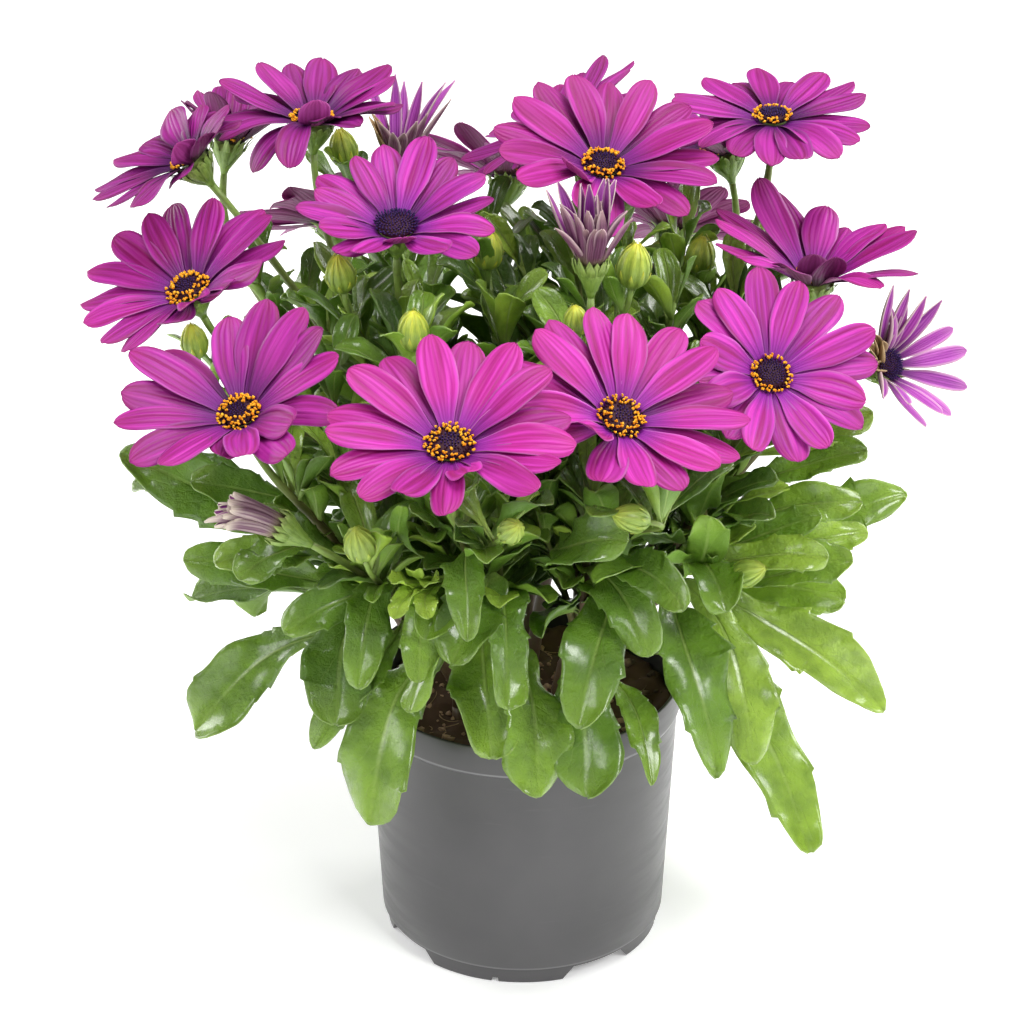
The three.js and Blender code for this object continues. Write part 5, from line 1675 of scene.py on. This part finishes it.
def petal_materials():
    pattern = petal_pattern()
    # The deep colour is what painted shade darkens a petal toward.
    face = {
        "warm": (0.46, 0.017, 0.27), "cool": (0.39, 0.028, 0.36), "bright": (0.67, 0.045, 0.5),
        "bright_share": 0.75, "line": (0.27, 0.006, 0.105), "band": 0.75, "streak": 0.25,
        "vein": 0.22, "middle": 0.0, "tip": (0.46, 0.03, 0.21), "tip_share": 0.5,
        "root": (0.19, 0.02, 0.3), "root_reach": 0.34, "rim": (0.6, 0.22, 0.55), "rim_share": 0.4,
        "rim_fade": 0.0, "rim_from": 0.86, "deep": (0.2, 0.06, 0.22),
    }
    back = {
        "warm": (0.42, 0.05, 0.27), "cool": (0.34, 0.05, 0.28), "bright": (0.52, 0.08, 0.38),
        "bright_share": 0.5, "line": (0.2, 0.02, 0.12), "band": 0.5, "streak": 0.4, "vein": 0.4,
        "middle": 0.3, "tip": (0.36, 0.03, 0.2), "tip_share": 0.4, "root": (0.2, 0.08, 0.1),
        "root_reach": 0.2, "rim": (0.5, 0.2, 0.45), "rim_share": 0.3, "rim_fade": 0.2,
        "rim_from": 0.86, "deep": (0.13, 0.16, 0.13),
    }
    young = {
        "warm": (0.55, 0.07, 0.5), "cool": (0.4, 0.07, 0.46), "bright": (0.7, 0.2, 0.68),
        "bright_share": 0.65, "line": (0.2, 0.025, 0.22), "band": 0.5, "streak": 0.3, "vein": 0.3,
        "middle": 0.15, "tip": (0.6, 0.25, 0.52), "tip_share": 0.45, "root": (0.11, 0.02, 0.15),
        "root_reach": 0.35, "rim": (0.78, 0.55, 0.62), "rim_share": 0.6, "rim_fade": 1.0,
        "rim_from": 0.6, "deep": (0.25, 0.14, 0.27),
    }
    young_back = {
        "warm": (0.31, 0.11, 0.21), "cool": (0.25, 0.1, 0.23), "bright": (0.56, 0.31, 0.44),
        "bright_share": 0.55, "line": (0.11, 0.035, 0.07), "band": 0.6, "streak": 0.55, "vein": 0.5,
        "middle": 0.45, "tip": (0.66, 0.48, 0.42), "tip_share": 0.6, "root": (0.32, 0.3, 0.13),
        "root_reach": 0.22, "rim": (0.84, 0.7, 0.64), "rim_share": 0.6, "rim_fade": 1.0,
        "rim_from": 0.45, "deep": (0.4, 0.3, 0.35),
    }
    shut_back = dict(
        young_back, warm=(0.5, 0.36, 0.38), cool=(0.36, 0.24, 0.32), bright=(0.78, 0.66, 0.6),
        bright_share=0.8, tip=(0.86, 0.78, 0.62), tip_share=0.85, rim=(0.88, 0.8, 0.68),
    )
    dry = dict(
        young_back, warm=(0.36, 0.22, 0.08), cool=(0.27, 0.17, 0.07), bright=(0.58, 0.43, 0.2),
        line=(0.11, 0.055, 0.02), tip=(0.5, 0.33, 0.15), root=(0.3, 0.3, 0.1), rim=(0.62, 0.48, 0.26),
    )
    palettes = {
        "petal": ("petal face", face, 0.46),
        "petal_back": ("petal back", back, 0.52),
        "young_petal": ("young petal face", young, 0.5),
        "young_petal_back": ("young petal back", young_back, 0.55),
        "shut_petal": ("shut petal face", young, 0.5),
        "shut_petal_back": ("shut petal back", shut_back, 0.55),
        "dry_petal": ("dry petal", dry, 0.6),
    }
    return {
        key: petal_looks(name, pattern, colours, roughness)
        for key, (name, colours, roughness) in palettes.items()
    }


def green_materials(mottle):
    face = {
        "old": (0.052, 0.125, 0.009), "grown": (0.14, 0.29, 0.01), "young": (0.38, 0.58, 0.05),
        "pale": (0.4, 0.54, 0.14), "vein": 0.5, "margin": 0.12,
    }
    back = {
        "old": (0.09, 0.19, 0.02), "grown": (0.17, 0.33, 0.03), "young": (0.4, 0.6, 0.06),
        "pale": (0.36, 0.5, 0.14), "vein": 0.6, "margin": 0.2,
    }
    return {
        "leaf": leaf_looks("leaf face", mottle, face, 0.42, 1.0, 1.0),
        "leaf_back": leaf_looks("leaf back", mottle, back, 0.5, 0.35, 0.2),
        "stem": green_looks("stalk skin", mottle, 0.42, 0.5, (0.09, 0.07, 0.035), (
            (0.0, (0.1, 0.055, 0.035)), (0.35, (0.13, 0.075, 0.05)), (0.6, (0.16, 0.14, 0.045)),
            (0.85, (0.2, 0.3, 0.055)), (1.0, (0.27, 0.42, 0.08)),
        )),
        "bract": green_looks("bract skin", mottle, 0.4, 0.5, (0.07, 0.15, 0.02), (
            (0.0, (0.2, 0.33, 0.05)), (0.6, (0.3, 0.45, 0.09)), (1.0, (0.36, 0.46, 0.12)),
        )),
        "bud": green_looks("bud skin", mottle, 0.38, 0.45, (0.1, 0.2, 0.02), (
            (0.0, (0.2, 0.33, 0.06)), (0.5, (0.4, 0.54, 0.08)), (0.8, (0.62, 0.68, 0.07)),
            (1.0, (0.82, 0.74, 0.05)),
        )),
    }


def disc_materials(mottle):
    web = start_material("floret")
    spots = web.placed(mottle, Scale=700.0, Fine=0.4)
    tone = web.attribute("tone")
    body = web.ramp(tone, (
        (0.0, (0.03, 0.004, 0.012)), (0.3, (0.04, 0.008, 0.02)), (0.36, (0.012, 0.005, 0.03)),
        (0.9, (0.035, 0.014, 0.1)),
    ))
    # Painted highlight: the tops of the shut florets are lighter violet, for the light they catch.
    floret_tip_highlight = web.times(web.band(web.attribute("upward"), 0.7, 1.0, 0.0, 0.6), web.band(tone, 0.3, 0.5))
    body = web.blend(floret_tip_highlight, body, (0.13, 0.06, 0.3))
    dull = {"Specular IOR Level": 0.2}
    floret = material("floret", body, 0.55, web.bumps(spots["Height"], 0.3, 0.0003), **dull)

    web = start_material("anther")
    spots = web.placed(mottle, Scale=900.0, Fine=0.5)
    golds = ((0.3, (0.62, 0.16, 0.008)), (0.48, (0.88, 0.36, 0.012)), (0.66, (0.98, 0.58, 0.05)))
    body = web.ramp(spots["Clouds"], golds)
    anther = material("anther", body, 0.8, web.bumps(spots["Height"], 0.6, 0.0004), **dull)
    return {"floret": floret, "anther": anther}


def pot_materials(mottle):
    web = start_material("pot plastic")
    place = web.place()
    spots = web.placed(mottle, Scale=60.0, Fine=0.2)
    grain = web.noise(place, 2600.0, 2.0, 0.6)
    scuffs = web.noise(web.stretched(place, (30, 30, 240)), 1.0, 4.0, 0.65)
    clouds = web.band(spots["Clouds"], 0.3, 0.7, 0.0, 0.4)
    body = web.blend(clouds, (0.07, 0.068, 0.071), (0.084, 0.081, 0.084))
    body = web.blend(web.band(scuffs, 0.62, 0.78, 0.0, 0.2), body, (0.14, 0.14, 0.142))
    level = web.split(place)["Z"]
    # Painted highlight: a thin pale line at the foot of the band and at the top of the skirt, for
    # light caught on these ledges.
    for height, share in ((POT["height"] - POT["band"] + 0.1, 0.5), (POT["skirt_top"] - 0.1, 0.3)):
        low = height * MM
        from_below = web.band(level, low, low + 0.3 * MM)
        line = web.times(from_below, web.band(level, low + 1.2 * MM, low + 0.8 * MM))
        body = web.blend(web.times(line, share), body, (0.3, 0.3, 0.305))
    gloss = web.band(scuffs, 0.35, 0.7, 0.3, 0.42)
    normal = web.bumps(web.maths("MULTIPLY_ADD", scuffs, 0.4, grain), 0.12, 0.0002)
    outside = material("pot plastic", body, gloss, normal)

    web = start_material("pot plastic inside, dust and painted shade")
    # Painted shade: the inside of the pot is near black for the shade that falls there, with specks of
    # brown dust.
    dust = web.noise(web.place(), 90.0, 4.0, 0.6)
    body = web.blend(web.band(dust, 0.5, 0.75, 0.0, 0.5), (0.012, 0.012, 0.013), (0.05, 0.035, 0.027))
    inside = material("pot plastic inside, dust and painted shade", body, 0.45, web.bumps(dust, 0.2, 0.0003))
    return {"plastic": outside, "plastic_inside_dust_and_shade": inside}


def peat_materials(mottle):
    """Browns of the peat, its crumbs and its fibres, darkened by painted shade along the pot's wall.
    """
    looks = {}
    for name, scale, stops in (
        ("peat", 420.0,
            ((0.35, (0.05, 0.02, 0.013)), (0.5, (0.27, 0.125, 0.08)), (0.66, (0.62, 0.38, 0.27)))),
        ("crumb", 700.0,
            ((0.3, (0.06, 0.026, 0.018)), (0.5, (0.25, 0.12, 0.08)), (0.72, (0.5, 0.31, 0.22)))),
        ("fibre", 500.0,
            ((0.3, (0.12, 0.055, 0.03)), (0.5, (0.25, 0.13, 0.07)), (0.7, (0.42, 0.27, 0.17)))),
    ):
        web = start_material(name)
        spots = web.placed(mottle, Scale=scale, Fine=0.7)
        flat = web.stretched(web.place(), (1, 1, 0))
        reach = web("VectorMath", {0: flat}, operation="LENGTH").outputs["Value"]
        # Painted shade: the peat, its crumbs and its fibres darken toward the pot's wall, where shade
        # falls.
        wall_shade = web.band(reach, PAINTED_WALL_SHADE["from"] * MM, PAINTED_WALL_SHADE["to"] * MM, 0.0, PAINTED_WALL_SHADE["share"])
        body = web.blend(wall_shade, web.ramp(spots["Height"], stops), PAINTED_WALL_SHADE["colour"])
        looks[name] = material(name, body, 0.9, web.bumps(spots["Height"], 0.8, 0.0008))
    return looks


def make_looks():
    mottle = mottling()
    return {
        **petal_materials(), **green_materials(mottle), **disc_materials(mottle),
        **pot_materials(mottle), **peat_materials(mottle),
    }


# ---------- floor, light and camera, in metres ----------
FLOOR_RADIUS = 6
# Lamps: name, place, size in metres and power in watts. All of them shine on the plant's middle.
LAMPS = (
    ("top", (0.25, 0.1, 1.6), 0.9, 19),
    ("right front", (1.0, -1.25, 1.6), 0.7, 24),
    ("left front", (-1.2, -1.2, 1.1), 0.8, 11),
    ("left edge", (-1.2, 0.7, 0.5), 0.8, 12),
    ("right edge", (1.2, 0.7, 0.5), 0.8, 13),
)
LAMPS_AIM = Vector((0, 0, 0.2))
# The camera: lens and sensor in millimetres, place, and turn down and aside in degrees.
CAMERA = {"lens": 144.5, "sensor": 36, "place": (0, -1.364, 0.892), "down": 27.69, "aside": 0.173}


def make_floor():
    bm = bmesh.new()
    bmesh.ops.create_circle(bm, cap_ends=True, segments=96, radius=FLOOR_RADIUS)
    floor = new_object("studio_floor", bm, 1)
    web = start_material("studio floor")
    body = web.blend(web.noise(web.place(), 2.0, 1.0), (0.93, 0.93, 0.93), (0.95, 0.95, 0.95))
    glow = {"Emission Color": (1.0, 1.0, 1.0), "Emission Strength": 0.25}
    floor.data.materials.append(material("studio floor", body, 0.9, **glow))


def make_light():
    world = bpy.data.worlds.new("studio light")
    world.use_nodes = True
    sky = world.node_tree.nodes["Background"].inputs
    sky["Color"].default_value = (1, 1, 1, 1)
    sky["Strength"].default_value = 0.3
    bpy.context.scene.world = world
    for name, place, size, power in LAMPS:
        light = bpy.data.lights.new(name + " light", "AREA")
        light.size = size
        light.energy = power
        lamp = bpy.data.objects.new(name + " light", light)
        lamp.location = place
        lamp.rotation_euler = (LAMPS_AIM - Vector(place)).to_track_quat("-Z", "Y").to_euler()
        bpy.context.scene.collection.objects.link(lamp)


def make_camera():
    camera = bpy.data.cameras.new("camera")
    camera.sensor_width = CAMERA["sensor"]
    camera.lens = CAMERA["lens"]
    eye = bpy.data.objects.new("camera", camera)
    eye.location = CAMERA["place"]
    eye.rotation_euler = (math.radians(90 - CAMERA["down"]), 0, math.radians(CAMERA["aside"]))
    bpy.context.scene.collection.objects.link(eye)
    bpy.context.scene.camera = eye
    bpy.context.scene.view_settings.view_transform = "Standard"


looks = make_looks()
make_pot(looks)
make_peat(looks)
leaves = grown_leaves()
petals = petal_points()
for branch in BRANCHES:
    make_branch(branch, leaves, petals, looks)
for name in BLOOMS:
    make_petals(name, looks)
    if name not in SHUT:
        make_disc(name, looks)
make_floor()
make_light()
make_camera()
